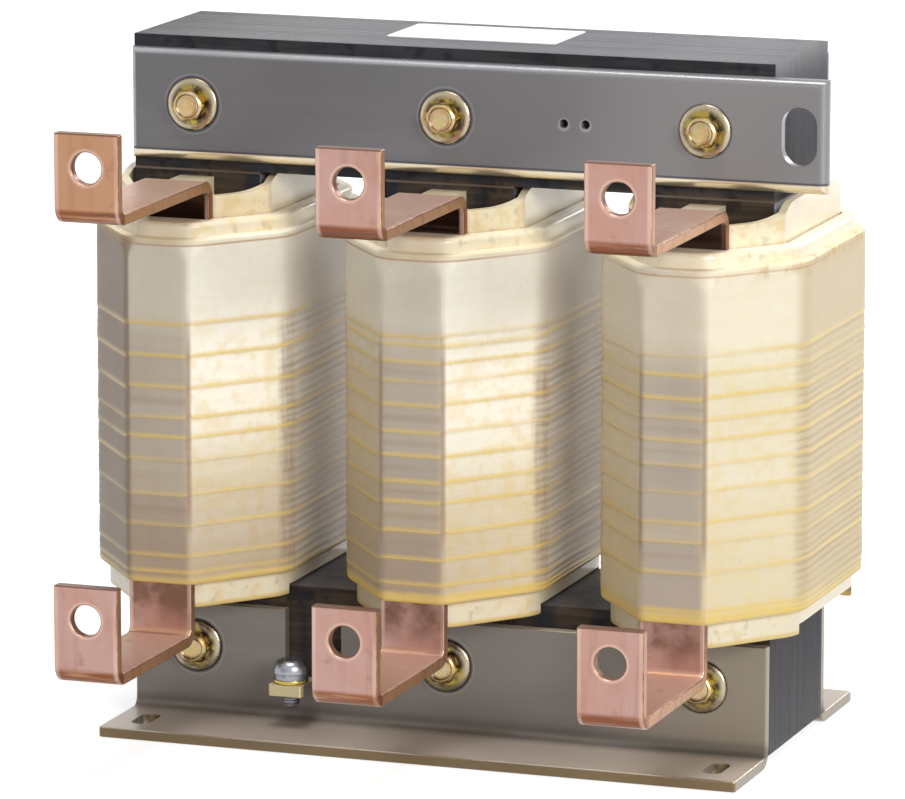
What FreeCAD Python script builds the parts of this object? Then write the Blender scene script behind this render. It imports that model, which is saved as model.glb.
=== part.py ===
"""Load-side reactor: three coils on a laminated three-leg core, held between steel clamps on two foot angles.

Millimetres. +Z is up and Z = 0 is the floor under the feet. X runs along the core from the left to the right
coil, and -Y is the front, where the terminals are. The middle coil is built round X = 0; at the end all
solids move together, so that the part stands centred over the origin.
"""

import FreeCAD
import Part
import math
import os

V = FreeCAD.Vector
X_AXIS = V(1, 0, 0)
Y_AXIS = V(0, 1, 0)
Z_AXIS = V(0, 0, 1)

# Core stack
leg_width = 60.0
window_width = 60.0
window_height = 188.0
yoke_height = 60.0
core_depth = 80.0
air_gap = 1.0

# Clamps and feet, bent from one gauge of plate
plate = 5.0
upper_clamp_drop = 5.5
upper_clamp_lift = 4.5
upper_clamp_overhang = 25.0
upper_clamp_edge = 3.5
lower_clamp_edge = 0.8
core_edge = 0.6
lower_clamp_step = 10.0
foot_reach = 50.0
bend_inner = 4.0
foot_lift = 5.0
foot_slot_width = 9.0
foot_slot_length = 20.0
foot_slot_from_end = 15.0
foot_slot_from_tip = 20.0
foot_corner = 1.5
lift_slot_width = 16.0
lift_slot_height = 26.0
lift_slot_from_end = 12.5
pilot_diameter = 4.0
pilot_spacing = 10.0
pilot_x = 60.0

# Clamp bolts
bolt_diameter = 8.0
bolt_clearance = 1.0
bolt_chamfer = 1.0
bolt_proud = 4.0
head_height = 5.3
nut_height = 6.8
hex_width = 13.0
hex_crown_slope = 30.0
washer_diameter = 24.0
washer_thickness = 2.0
washer_edge = 0.5
sleeve_wall = 1.2
sleeve_clearance = 0.2

# Coils, outer layer first
coil_front_reach = 50.0
coil_front_flat = 30.0
coil_side_flat = 96.0
coil_bottom_gap = 8.0
coil_top_gap = 24.0
coil_corner = 7.0
coil_side_corner = 24.0
coil_rim = 1.5
outer_side_build = 4.0
outer_front_skin = 1.3
outer_oblique_build = 5.5
inner_side_build = 8.0
inner_front_build = 18.5
inner_oblique_build = 7.0
inner_proud_top = 6.5
inner_bottom_gap = 1.0
inner_skirt = 5.0
inner_corner = 6.0
inner_side_corner = 20.0
former_wall = 3.5
former_side_gap = 2.5
former_corner = 5.0
former_top_gap = 0.5
former_low_top = 10.0
former_low_reach = 14.0
former_slope_run = 30.0
spacer_width = 16.0
spacer_clearance = 0.2
spacer_proud = 4.5

# Terminals
bar_width = 30.0
bar_thickness = 5.0
bar_edge = 0.8
bar_bend = 3.0
bar_anchor = 60.0
bar_clearance = 0.1
lug_hole = 14.0
lug_hole_chamfer = 0.5
lug_hole_from_top = 15.0
terminal_reach = 134.0
upper_lug_height = 40.0
lower_lug_height = 44.0
upper_arm_gap = 2.5
lower_arm_drop = 23.0
upper_bar_offset = 2.5

# Earth point in the front foot angle
earth_notch_width = 27.0
earth_notch_left = 77.0
earth_tab_width = 16.0
earth_tab_reach = 22.0
earth_tab_height = 20.0
earth_tab_bend = 3.0
earth_thread = 8.0
earth_thread_fit = 0.05
earth_thread_proud = 7.0
earth_head_diameter = 16.0
earth_head_height = 7.0
earth_head_round = 5.0
earth_head_slot = 2.0
earth_head_slot_depth = 2.5
earth_washer_diameter = 16.0
earth_washer_thickness = 2.0
earth_spring_diameter = 14.8
earth_spring_thickness = 2.5
earth_spring_split = 2.0

# Label
label_width = 80.0
label_depth = 44.0
label_thickness = 0.3
label_back_inset = 9.0
label_corner = 2.0

# Places worked out from the sizes above
pitch = leg_width + window_width
core_width = 3 * leg_width + 2 * window_width
coil_names = ("left", "middle", "right")
coil_x = (-pitch, 0.0, pitch)
rear_reach = core_depth + max(foot_reach, coil_front_reach)
core_front = (terminal_reach - rear_reach) / 2
core_back = core_front + core_depth
core_middle = core_front + core_depth / 2
lower_yoke_top = foot_lift + yoke_height
upper_yoke_bottom = lower_yoke_top + window_height
core_top = upper_yoke_bottom + yoke_height
upper_bolt_z = upper_yoke_bottom + yoke_height / 2
lower_bolt_z = foot_lift + yoke_height / 2
upper_clamp_top = core_top - upper_clamp_drop
upper_clamp_bottom = upper_yoke_bottom + upper_clamp_lift
lower_clamp_top = lower_yoke_top - lower_clamp_step
clamp_hole = bolt_diameter + bolt_clearance
coil_bottom = lower_yoke_top + coil_bottom_gap
coil_top = upper_yoke_bottom - coil_top_gap
coil_half_width = leg_width / 2 + former_side_gap + former_wall + inner_side_build + outer_side_build
outer_front_build = bar_thickness + 2 * bar_clearance + outer_front_skin
inner_top = coil_top + inner_proud_top
inner_bottom = lower_yoke_top + inner_bottom_gap
former_bottom = lower_yoke_top
former_top = upper_yoke_bottom - former_top_gap
former_low = inner_top + former_low_top
lug_back = core_front - terminal_reach + bar_thickness
outer_left = coil_x[0] - coil_half_width
outer_right = core_width / 2 + upper_clamp_overhang
middle_of_box = V((outer_left + outer_right) / 2, 0, 0)


def box(x, y, z):
    """Box between three (low, high) pairs."""
    size = V(x[1] - x[0], y[1] - y[0], z[1] - z[0])
    return Part.makeBox(size.x, size.y, size.z, V(x[0], y[0], z[0]))


def prism(points, direction):
    """Solid pushed along a direction from a closed flat outline of points."""
    return Part.Face(Part.makePolygon(points + points[:1])).extrude(direction)


def rod(diameter, y_start, y_end, x, z):
    """Round bar along Y."""
    return Part.makeCylinder(diameter / 2, y_end - y_start, V(x, y_start, z), Y_AXIS)


def straight_edges(solid, direction):
    """Straight edges of a solid that run along a direction."""
    lines = [edge for edge in solid.Edges if edge.Curve.TypeId == "Part::GeomLine"]
    return [edge for edge in lines if edge.tangentAt(edge.FirstParameter).cross(direction).Length < 1e-6]


def round_edges(solid):
    """Circular edges of a solid."""
    return [edge for edge in solid.Edges if edge.Curve.TypeId == "Part::GeomCircle"]


def in_plane(edge, axis, place):
    """Whether an edge lies wholly in the plane where one coordinate has a given value."""
    bounds = edge.BoundBox
    return all(abs(getattr(bounds, axis + end) - place) < 1e-4 for end in ("Min", "Max"))


def edges_at(solid, axis, place):
    """Edges of a solid that lie wholly in the plane where one coordinate has a given value."""
    return [edge for edge in solid.Edges if in_plane(edge, axis, place)]


def turned(shape):
    """Copy of a shape turned half a turn about the upright middle of the core."""
    copy = shape.copy()
    copy.rotate(V(0, core_middle, 0), Z_AXIS, 180)
    return copy


def strip(path, bend, thickness, x_low, width):
    """Bent flat bar along a path of (y, z) points on its middle surface, with arcs at the bends."""
    middle_bend = bend + thickness / 2
    points = [V(x_low, y, z) for y, z in path]
    edges = []
    start = points[0]
    for before, corner, after in zip(points, points[1:], points[2:]):
        back = (before - corner).normalize()
        ahead = (after - corner).normalize()
        half_turn = back.getAngle(ahead) / 2
        setback = middle_bend / math.tan(half_turn)
        arc_start = corner + back * setback
        arc_end = corner + ahead * setback
        to_centre = (back + ahead).normalize()
        crown = corner + to_centre * (middle_bend / math.sin(half_turn) - middle_bend)
        edges.append(Part.LineSegment(start, arc_start).toShape())
        edges.append(Part.Arc(arc_start, crown, arc_end).toShape())
        start = arc_end
    edges.append(Part.LineSegment(start, points[-1]).toShape())
    lengths = [swept_step(edge, thickness, width) for edge in edges]
    return lengths[0].fuse(lengths[1:]).removeSplitter()


def swept_step(edge, thickness, width):
    """One straight or curved length of a bent bar."""
    half = thickness / 2
    start = edge.Vertexes[0].Point
    end = edge.Vertexes[-1].Point
    if edge.Curve.TypeId == "Part::GeomLine":
        side = (end - start).normalize().cross(X_AXIS) * half
        return prism([start - side, start + side, end + side, end - side], V(width, 0, 0))
    centre = edge.Curve.Center
    radius = edge.Curve.Radius
    crown = edge.valueAt((edge.FirstParameter + edge.LastParameter) / 2)
    outlines = []
    for size in (radius - half, radius + half):
        rays = [centre + (point - centre).normalize() * size for point in (start, crown, end)]
        outlines.append(rays)
    inside, outside = outlines
    wire = Part.Wire([Part.Arc(*inside).toShape(), Part.LineSegment(inside[2], outside[2]).toShape(),
                      Part.Arc(outside[2], outside[1], outside[0]).toShape(),
                      Part.LineSegment(outside[0], inside[0]).toShape()])
    return Part.Face(wire).extrude(V(width, 0, 0))


def slot_along_y(x, y, z, length, width, depth):
    """Upright cutter for a slot that runs fore and aft."""
    half_run = (length - width) / 2
    ends = [Part.makeCylinder(width / 2, depth, V(x, y + side * half_run, z)) for side in (-1, 1)]
    middle = box((x - width / 2, x + width / 2), (y - half_run, y + half_run), (z, z + depth))
    return middle.fuse(ends)


def slot_upright(x, y, z, height, width, depth):
    """Cutter along Y for a slot that stands upright."""
    half_run = (height - width) / 2
    ends = [rod(width, y, y + depth, x, z + side * half_run) for side in (-1, 1)]
    middle = box((x - width / 2, x + width / 2), (y, y + depth), (z - half_run, z + half_run))
    return middle.fuse(ends)


def bolt_places():
    """X and Z of every clamp bolt, the upper row first."""
    return [(x, z) for z in (upper_bolt_z, lower_bolt_z) for x in coil_x]


def core_e_stack():
    """Lower yoke with its three legs, bored for the lower bolts."""
    half = core_width / 2
    depth = (core_front, core_back)
    leg_height = (lower_yoke_top, upper_yoke_bottom - air_gap)
    stack = box((-half, half), depth, (foot_lift, lower_yoke_top))
    for x in coil_x:
        stack = stack.fuse(box((x - leg_width / 2, x + leg_width / 2), depth, leg_height))
    return bored(stack.removeSplitter(), lower_bolt_z)


def core_top_yoke():
    """Upper yoke, bored for the upper bolts."""
    half = core_width / 2
    stack = box((-half, half), (core_front, core_back), (upper_yoke_bottom, core_top))
    return bored(stack.makeFillet(core_edge, stack.Edges), upper_bolt_z)


def bored(stack, z):
    """A yoke with one sleeve bore on each leg's centre line."""
    bore = bolt_diameter + 2 * (sleeve_wall + 2 * sleeve_clearance)
    return stack.cut([rod(bore, core_front, core_back, x, z) for x in coil_x])


def air_gap_plates():
    """Insulating plates that set the gap between the legs and the upper yoke."""
    height = (upper_yoke_bottom - air_gap, upper_yoke_bottom)
    return [box((x - leg_width / 2, x + leg_width / 2), (core_front, core_back), height) for x in coil_x]


def clamp_bar(overhang):
    """Upper clamp bar in front of the yoke, with its bolt holes, longer than the core on the right."""
    ends = (-core_width / 2, core_width / 2 + overhang)
    face = core_front - plate
    bar = box(ends, (face, core_front), (upper_clamp_bottom, upper_clamp_top))
    bar = bar.makeFillet(upper_clamp_edge, edges_at(bar, "Y", face))
    return bar.cut([rod(clamp_hole, face, core_front, x, upper_bolt_z) for x in coil_x])


def front_upper_clamp():
    """Front upper clamp: a bar with a long end on the right, its lifting slot and two small holes."""
    bar = clamp_bar(upper_clamp_overhang)
    face = core_front - plate
    middle_z = (upper_clamp_bottom + upper_clamp_top) / 2
    slot_x = core_width / 2 + upper_clamp_overhang - lift_slot_from_end
    cuts = [slot_upright(slot_x, face, middle_z, lift_slot_height, lift_slot_width, plate)]
    for side in (-1, 1):
        cuts.append(rod(pilot_diameter, face, core_front, pilot_x + side * pilot_spacing / 2, upper_bolt_z))
    return bar.cut(cuts)


def foot_angle():
    """Front lower clamp without its notch: upright leg, bend and slotted foot."""
    half = core_width / 2
    middle_y = core_front - plate / 2
    path = [(middle_y, lower_clamp_top), (middle_y, plate / 2), (core_front - foot_reach, plate / 2)]
    angle = strip(path, bend_inner, plate, -half, core_width)
    tips = [edge for edge in straight_edges(angle, Z_AXIS) if in_plane(edge, "Y", core_front - foot_reach)]
    angle = angle.makeFillet(foot_corner, tips)
    rims = edges_at(angle, "X", -half) + edges_at(angle, "X", half) + edges_at(angle, "Z", lower_clamp_top)
    angle = angle.makeFillet(lower_clamp_edge, rims)
    slot_y = core_front - foot_reach + foot_slot_from_tip
    cuts = [rod(clamp_hole, core_front - plate, core_front, x, lower_bolt_z) for x in coil_x]
    for side in (-1, 1):
        slot_x = side * (half - foot_slot_from_end)
        cuts.append(slot_along_y(slot_x, slot_y, 0, foot_slot_length, foot_slot_width, plate))
    return angle.cut(cuts)


def front_lower_clamp():
    """Foot angle with a notch in its upright leg, whose metal is bent forward as the earth tab."""
    left = -earth_notch_left
    notch_floor = earth_tab_height - earth_tab_bend
    notch_height = (notch_floor, lower_clamp_top)
    notch = box((left, left + earth_notch_width), (core_front - plate, core_front), notch_height)
    middle_y = core_front - plate / 2
    middle_z = earth_tab_height + plate / 2
    tip_y = core_front - plate - earth_tab_reach
    path = [(middle_y, notch_floor - plate / 2), (middle_y, middle_z), (tip_y, middle_z)]
    tab = strip(path, earth_tab_bend, plate, left, earth_tab_width)
    corners = [edge for edge in straight_edges(tab, Z_AXIS) if in_plane(edge, "Y", tip_y)]
    tab = tab.makeFillet(foot_corner, corners)
    bore = earth_bore(earth_tab_height, plate)
    return foot_angle().cut(notch).fuse(tab).removeSplitter().cut(bore)


def earth_bore(z, height):
    """Cutter for the earth screw's hole."""
    return Part.makeCylinder(earth_thread / 2 + earth_thread_fit, height, V(earth_x(), earth_y(), z))


def earth_x():
    """X of the earth screw, in the middle of its tab."""
    return -earth_notch_left + earth_tab_width / 2


def earth_y():
    """Y of the earth screw, as far from the tab's tip as from its sides."""
    return core_front - plate - earth_tab_reach + earth_tab_width / 2


def hexagon(y_start, height, x, z, crowned_y):
    """Hexagon along Y with one crowned end, its corners to the left and right."""
    corner = hex_width / math.sqrt(3)
    points = []
    for step in range(6):
        angle = math.radians(60 * step)
        points.append(V(x + corner * math.cos(angle), y_start, z + corner * math.sin(angle)))
    body = prism(points, V(0, height, 0))
    tip = hex_width / 2
    spread = tip + height / math.tan(math.radians(hex_crown_slope))
    radii = (spread, tip) if crowned_y > y_start else (tip, spread)
    return body.common(Part.makeCone(radii[0], radii[1], height, V(x, y_start, z), Y_AXIS))


def washer(y_start, x, z):
    """Plain washer along Y with broken outer edges."""
    disc = rod(washer_diameter, y_start, y_start + washer_thickness, x, z)
    disc = disc.makeFillet(washer_edge, round_edges(disc))
    return disc.cut(rod(clamp_hole, y_start, y_start + washer_thickness, x, z))


def bolt(x, z):
    """Hexagon bolt from the front, its thread end standing proud of the nut behind."""
    seat = core_front - plate - washer_thickness
    end_y = nut_seat() + nut_height + bolt_proud
    shank = rod(bolt_diameter, seat, end_y, x, z)
    shank = shank.makeChamfer(bolt_chamfer, edges_at(shank, "Y", end_y))
    head_y = seat - head_height
    return hexagon(head_y, head_height, x, z, head_y).fuse(shank).removeSplitter()


def nut_seat():
    """Y of the rear washers' back faces, where the nuts bear."""
    return core_back + plate + washer_thickness


def nut(x, z):
    """Hexagon nut on the rear washer."""
    start = nut_seat()
    body = hexagon(start, nut_height, x, z, start + nut_height)
    return body.cut(rod(bolt_diameter, start, start + nut_height, x, z))


def sleeve(x, z):
    """Insulating tube on a bolt, inside the yoke."""
    inner = bolt_diameter + 2 * sleeve_clearance
    tube = rod(inner + 2 * sleeve_wall, core_front, core_back, x, z)
    return tube.cut(rod(inner, core_front, core_back, x, z))


def oblique_reach():
    """Distance from the coil's axis to its oblique faces, and their outward direction."""
    across = coil_half_width - coil_front_flat / 2
    along = core_depth / 2 + coil_front_reach - coil_side_flat / 2
    length = math.hypot(across, along)
    normal = (along / length, across / length)
    return normal[0] * coil_half_width + normal[1] * coil_side_flat / 2, normal


def upright_edges(column, x, away):
    """Upright edges of a column that lie at one distance from the leg's middle, to the left and the right."""
    edges = straight_edges(column, Z_AXIS)
    return [edge for edge in edges if abs(abs(edge.CenterOfMass.x - x) - away) < 0.01]


def ring_solid(x, insets, z_low, z_high, corners):
    """Eight-sided column round a leg, inset from the outer layer's faces, rounded at the front and sides."""
    side_inset, front_inset, oblique_inset = insets
    reach, (normal_x, normal_y) = oblique_reach()
    half_width = coil_half_width - side_inset
    half_depth = core_depth / 2 + coil_front_reach - front_inset
    side_half = (reach - oblique_inset - normal_x * half_width) / normal_y
    front_half = (reach - oblique_inset - normal_y * half_depth) / normal_x
    quarter = [(half_width, side_half), (front_half, half_depth)]
    half_outline = quarter + [(-a, b) for a, b in reversed(quarter)]
    outline = half_outline + [(-a, -b) for a, b in half_outline]
    column = prism([V(x + a, core_middle + b, z_low) for a, b in outline], V(0, 0, z_high - z_low))
    front_corner, side_corner = corners
    column = column.makeFillet(side_corner, upright_edges(column, x, half_width))
    return column.makeFillet(front_corner, upright_edges(column, x, front_half))


def outer_block(x, z_low, z_high):
    """Outside form of the outer layer."""
    return ring_solid(x, (0, 0, 0), z_low, z_high, (coil_corner, coil_side_corner))


def inner_block(x, z_low, z_high):
    """Outside form of the inner layer, which is also the inside of the outer one."""
    insets = (outer_side_build, outer_front_build, outer_oblique_build)
    return ring_solid(x, insets, z_low, z_high, (inner_corner, inner_side_corner))


def former_insets():
    """How far the former's side, front and oblique faces lie inside the outer layer's."""
    outer = (outer_side_build, outer_front_build, outer_oblique_build)
    inner = (inner_side_build, inner_front_build, inner_oblique_build)
    return [a + b for a, b in zip(outer, inner)]


def former_block(x, z_low, z_high):
    """Outside form of the former, which is also the inside of the inner layer."""
    return ring_solid(x, former_insets(), z_low, z_high, (former_corner, former_corner))


def former_hollow(x, z_low, z_high):
    """Inside of the former."""
    insets = [inset + former_wall for inset in former_insets()]
    corner = former_corner - former_wall
    return ring_solid(x, insets, z_low, z_high, (corner, corner))


def former_front():
    """Y of the former's front wall, outside."""
    return core_front - coil_front_reach + outer_front_build + inner_front_build


def coil_former(x):
    """Former: a thin eight-sided tube, cut low at the front and back between its higher side walls."""
    tube = former_block(x, former_bottom, former_top).cut(former_hollow(x, former_bottom, former_top))
    low_end = core_front + former_low_reach
    front_cut = lowering_cutter(x, low_end)
    return tube.cut([front_cut, turned_about(front_cut, x)])


def turned_about(shape, x):
    """Copy of a shape turned half a turn about a coil's upright axis."""
    copy = shape.copy()
    copy.rotate(V(x, core_middle, 0), Z_AXIS, 180)
    return copy


def lowering_cutter(x, low_end):
    """Cutter that takes the former's front down to its low height, rising to the side walls in an S curve."""
    half = coil_half_width
    rise = former_top - former_low
    run_start = low_end - former_slope_run
    middle = V(x - half, low_end - former_slope_run / 2, former_low + rise / 2)
    start = V(x - half, run_start, former_low)
    end = V(x - half, low_end, former_top)
    lower_pole = V(x - half, middle.y, former_low)
    upper_pole = V(x - half, middle.y, former_top)
    curve = Part.BezierCurve()
    curve.setPoles([start, lower_pole, upper_pole, end])
    front = core_front - coil_front_reach
    corner_low = V(x - half, front, former_low)
    corner_high = V(x - half, front, upper_yoke_bottom)
    end_high = V(x - half, low_end, upper_yoke_bottom)
    lines = [(end, end_high), (end_high, corner_high), (corner_high, corner_low), (corner_low, start)]
    wire = Part.Wire([curve.toShape()] + [Part.LineSegment(a, b).toShape() for a, b in lines])
    return Part.Face(wire).extrude(V(2 * half, 0, 0))


def coil_spacers(x):
    """Stay blocks in the front and back ducts between the leg and the former."""
    inside = former_front() + former_wall
    depth = (inside + spacer_clearance, core_front - spacer_clearance)
    top = former_low + spacer_proud
    front = box((x - spacer_width / 2, x + spacer_width / 2), depth, (former_bottom, top))
    return [front, turned_about(front, x)]


def upper_bar_x(x):
    """X of the middle of a coil's upper terminal."""
    return x + upper_bar_offset


def bar_pocket(x, y_low, z_low, z_high):
    """Room for a terminal bar inside a winding layer."""
    half = bar_width / 2 + bar_clearance
    depth = (y_low - bar_clearance, y_low + bar_thickness + bar_clearance)
    return box((x - half, x + half), depth, (z_low, z_high))


def upper_bar_y():
    """Lowest Y of the upper terminal's upright leg, which stands against the former."""
    return former_front() - bar_thickness


def lower_bar_y():
    """Lowest Y of the lower terminal's upright leg, which lies on the inner layer."""
    return core_front - coil_front_reach + outer_front_build - bar_thickness


def coil_inner_layer(x):
    """Inner winding layer, wound on the former, with room for the upper terminal."""
    skirt_bottom = inner_bottom - inner_skirt
    layer = inner_block(x, skirt_bottom, inner_top)
    layer = layer.makeFillet(coil_rim, edges_at(layer, "Z", inner_top) + edges_at(layer, "Z", skirt_bottom))
    layer = layer.cut(former_block(x, skirt_bottom, inner_top))
    over_yoke = (core_front - inner_bottom_gap, core_back + inner_bottom_gap)
    yoke_room = box((x - coil_half_width, x + coil_half_width), over_yoke, (skirt_bottom, inner_bottom))
    pocket_floor = inner_top - bar_anchor - bar_clearance
    return layer.cut([yoke_room, bar_pocket(upper_bar_x(x), upper_bar_y(), pocket_floor, inner_top)])


def coil_outer_layer(x):
    """Outer winding layer under its tape, with room for the lower terminal."""
    layer = outer_block(x, coil_bottom, coil_top)
    layer = layer.makeFillet(coil_rim, edges_at(layer, "Z", coil_top) + edges_at(layer, "Z", coil_bottom))
    layer = layer.cut(inner_block(x, coil_bottom, coil_top))
    pocket_top = coil_bottom + bar_anchor + bar_clearance
    return layer.cut(bar_pocket(x, lower_bar_y(), coil_bottom, pocket_top))


def terminal(x, path, lug_top):
    """Copper bar bent along a path, with rounded edges and a hole through its lug."""
    bar = strip(path, bar_bend, bar_thickness, x - bar_width / 2, bar_width)
    sides = edges_at(bar, "X", x - bar_width / 2) + edges_at(bar, "X", x + bar_width / 2)
    bar = bar.makeFillet(bar_edge, sides)
    hole_z = lug_top - lug_hole_from_top
    lug_front = lug_back - bar_thickness
    flare = lug_hole / 2 + lug_hole_chamfer
    cuts = [rod(lug_hole, lug_front, lug_back, x, hole_z)]
    cuts.append(Part.makeCone(flare, lug_hole / 2, lug_hole_chamfer, V(x, lug_front, hole_z), Y_AXIS))
    back_start = V(x, lug_back - lug_hole_chamfer, hole_z)
    cuts.append(Part.makeCone(lug_hole / 2, flare, lug_hole_chamfer, back_start, Y_AXIS))
    return bar.cut(cuts)


def upper_terminal(x):
    """Bar up out of the inner layer, forward over the coil and up to its lug."""
    arm_z = former_low + upper_arm_gap + bar_thickness / 2
    leg_y = upper_bar_y() + bar_thickness / 2
    lug_y = lug_back - bar_thickness / 2
    lug_top = arm_z - bar_thickness / 2 + upper_lug_height
    path = [(leg_y, inner_top - bar_anchor), (leg_y, arm_z), (lug_y, arm_z), (lug_y, lug_top)]
    return terminal(upper_bar_x(x), path, lug_top)


def lower_terminal(x):
    """Bar down out of the outer layer, forward over the foot and up to its lug."""
    arm_z = coil_bottom - lower_arm_drop - bar_thickness / 2
    leg_y = lower_bar_y() + bar_thickness / 2
    lug_y = lug_back - bar_thickness / 2
    lug_top = arm_z - bar_thickness / 2 + lower_lug_height
    path = [(leg_y, coil_bottom + bar_anchor), (leg_y, arm_z), (lug_y, arm_z), (lug_y, lug_top)]
    return terminal(x, path, lug_top)


def earth_washer_top():
    """Z of the top of the earth point's plain washer."""
    return earth_tab_height + plate + earth_washer_thickness


def earth_plain_washer():
    """Plain washer on the earth tab."""
    place = V(earth_x(), earth_y(), earth_tab_height + plate)
    disc = Part.makeCylinder(earth_washer_diameter / 2, earth_washer_thickness, place)
    return disc.cut(earth_bore(place.z, earth_washer_thickness))


def earth_spring_washer():
    """Split spring washer on the plain one."""
    place = V(earth_x(), earth_y(), earth_washer_top())
    disc = Part.makeCylinder(earth_spring_diameter / 2, earth_spring_thickness, place)
    bore = earth_bore(place.z, earth_spring_thickness)
    radius = earth_spring_diameter / 2
    half = earth_spring_split / 2
    height = (place.z, place.z + earth_spring_thickness)
    split = box((place.x - half, place.x + half), (place.y, place.y + radius), height)
    return disc.cut([bore, split])


def earth_screw():
    """Pan-head screw through the washers and the tapped tab, with a cross slot in its head."""
    seat = earth_washer_top() + earth_spring_thickness
    x, y = earth_x(), earth_y()
    foot = earth_tab_height - earth_thread_proud
    shank = Part.makeCylinder(earth_thread / 2, seat - foot, V(x, y, foot))
    shank = shank.makeChamfer(bolt_chamfer / 2, edges_at(shank, "Z", foot))
    head = Part.makeCylinder(earth_head_diameter / 2, earth_head_height, V(x, y, seat))
    head = head.makeFillet(earth_head_round, edges_at(head, "Z", seat + earth_head_height))
    slot_floor = seat + earth_head_height - earth_head_slot_depth
    arm = earth_head_diameter / 4
    half = earth_head_slot / 2
    slots = [box((x - arm, x + arm), (y - half, y + half), (slot_floor, slot_floor + earth_head_slot_depth)),
             box((x - half, x + half), (y - arm, y + arm), (slot_floor, slot_floor + earth_head_slot_depth))]
    return head.fuse(shank).removeSplitter().cut(slots)


def rating_label():
    """Sticker on top of the upper yoke, with rounded corners."""
    back = core_back - label_back_inset
    half = label_width / 2
    sheet = box((-half, half), (back - label_depth, back), (core_top, core_top + label_thickness))
    return sheet.makeFillet(label_corner, straight_edges(sheet, Z_AXIS))


def build():
    """Every node's name and its solid, or its list of separate solids."""
    places = bolt_places()
    nodes = {
        "core_e_stack": core_e_stack(),
        "core_top_yoke": core_top_yoke(),
        "air_gap_plates": air_gap_plates(),
        "front_upper_clamp": front_upper_clamp(),
        "rear_upper_clamp": turned(clamp_bar(0)),
        "front_lower_clamp": front_lower_clamp(),
        "rear_lower_clamp": turned(foot_angle()),
        "clamp_bolts": [bolt(x, z) for x, z in places],
        "bolt_sleeves": [sleeve(x, z) for x, z in places],
        "front_washers": [washer(core_front - plate - washer_thickness, x, z) for x, z in places],
        "rear_washers": [washer(core_back + plate, x, z) for x, z in places],
        "clamp_nuts": [nut(x, z) for x, z in places],
        "earth_screw": earth_screw(),
        "earth_spring_washer": earth_spring_washer(),
        "earth_plain_washer": earth_plain_washer(),
        "rating_label": rating_label(),
    }
    for name, x in zip(coil_names, coil_x):
        nodes[name + "_coil_former"] = coil_former(x)
        nodes[name + "_coil_spacers"] = coil_spacers(x)
        nodes[name + "_coil_inner_layer"] = coil_inner_layer(x)
        nodes[name + "_coil_outer_layer"] = coil_outer_layer(x)
        nodes[name + "_upper_terminal"] = upper_terminal(x)
        nodes[name + "_lower_terminal"] = lower_terminal(x)
    return nodes


os.makedirs("parts", exist_ok=True)
for node, shape in build().items():
    solid = Part.makeCompound(shape) if isinstance(shape, list) else shape
    solid = solid.translated(-middle_of_box)
    solid.exportStep("parts/" + node + ".step")
    print(node, "solids", len(solid.Solids), "valid", solid.isValid(), "volume", round(solid.Volume))
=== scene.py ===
"""Looks of a three-phase load-side reactor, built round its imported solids.

Metres. +Z is up and Z = 0 is the floor under the feet. X runs along the core from the left to the right coil,
and -Y is the front, where the copper terminals are. Each sub-assembly is a class that makes its meshes and
dresses its solids, and each finish is a frozen dataclass that makes one material.
"""

import logging
import math
from dataclasses import dataclass, field
from enum import Enum

import bpy
import bmesh
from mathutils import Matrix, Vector


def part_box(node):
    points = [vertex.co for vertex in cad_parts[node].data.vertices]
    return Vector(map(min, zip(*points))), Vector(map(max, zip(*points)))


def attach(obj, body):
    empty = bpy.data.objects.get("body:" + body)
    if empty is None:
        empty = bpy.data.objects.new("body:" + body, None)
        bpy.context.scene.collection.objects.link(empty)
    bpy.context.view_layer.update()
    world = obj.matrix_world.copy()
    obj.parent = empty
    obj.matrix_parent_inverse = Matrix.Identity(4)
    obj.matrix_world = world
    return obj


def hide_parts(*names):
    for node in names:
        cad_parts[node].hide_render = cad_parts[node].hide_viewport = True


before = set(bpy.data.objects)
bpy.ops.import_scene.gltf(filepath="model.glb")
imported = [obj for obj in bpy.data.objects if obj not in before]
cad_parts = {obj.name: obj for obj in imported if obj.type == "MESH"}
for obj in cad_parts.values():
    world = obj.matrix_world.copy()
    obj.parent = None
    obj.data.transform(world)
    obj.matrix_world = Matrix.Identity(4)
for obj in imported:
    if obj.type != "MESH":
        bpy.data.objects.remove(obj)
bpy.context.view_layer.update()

LOG = logging.getLogger("reactor")
MM = 0.001
ROOT = "root"
WASHER_RADIUS = 12 * MM
FULL_TURN = 2 * math.pi
ARC = [(1 - math.cos(math.radians(angle)), 1 - math.sin(math.radians(angle))) for angle in (0, 22, 45, 68, 90)]
PLAIN_MARKS = {"lap": 0.5, "turn": 0.0, "laid": 0.0, "skin": 0.0, "rim": 0.0, "strand": 0.0, "ridge": 0.0,
               "over": 1.0, "under": 1.0}

Colour = tuple[float, float, float]
WHITE: Colour = (1.0, 1.0, 1.0)


class Axis(Enum):
    """Index of each coordinate."""

    X = 0
    Y = 1
    Z = 2


class Phase(Enum):
    """The three coils, named from the left."""

    LEFT = "left"
    MIDDLE = "middle"
    RIGHT = "right"


class Streak(Enum):
    """Stretch of a noise pattern, as its scale along X, Y and Z."""

    EVEN = (1.0, 1.0, 1.0)
    LEVEL = (0.12, 0.12, 1.0)
    UPRIGHT = (1.0, 1.0, 0.1)
    ALONG_X = (0.08, 1.0, 1.0)
    SHEETS = (0.02, 1.0, 0.02)


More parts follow.
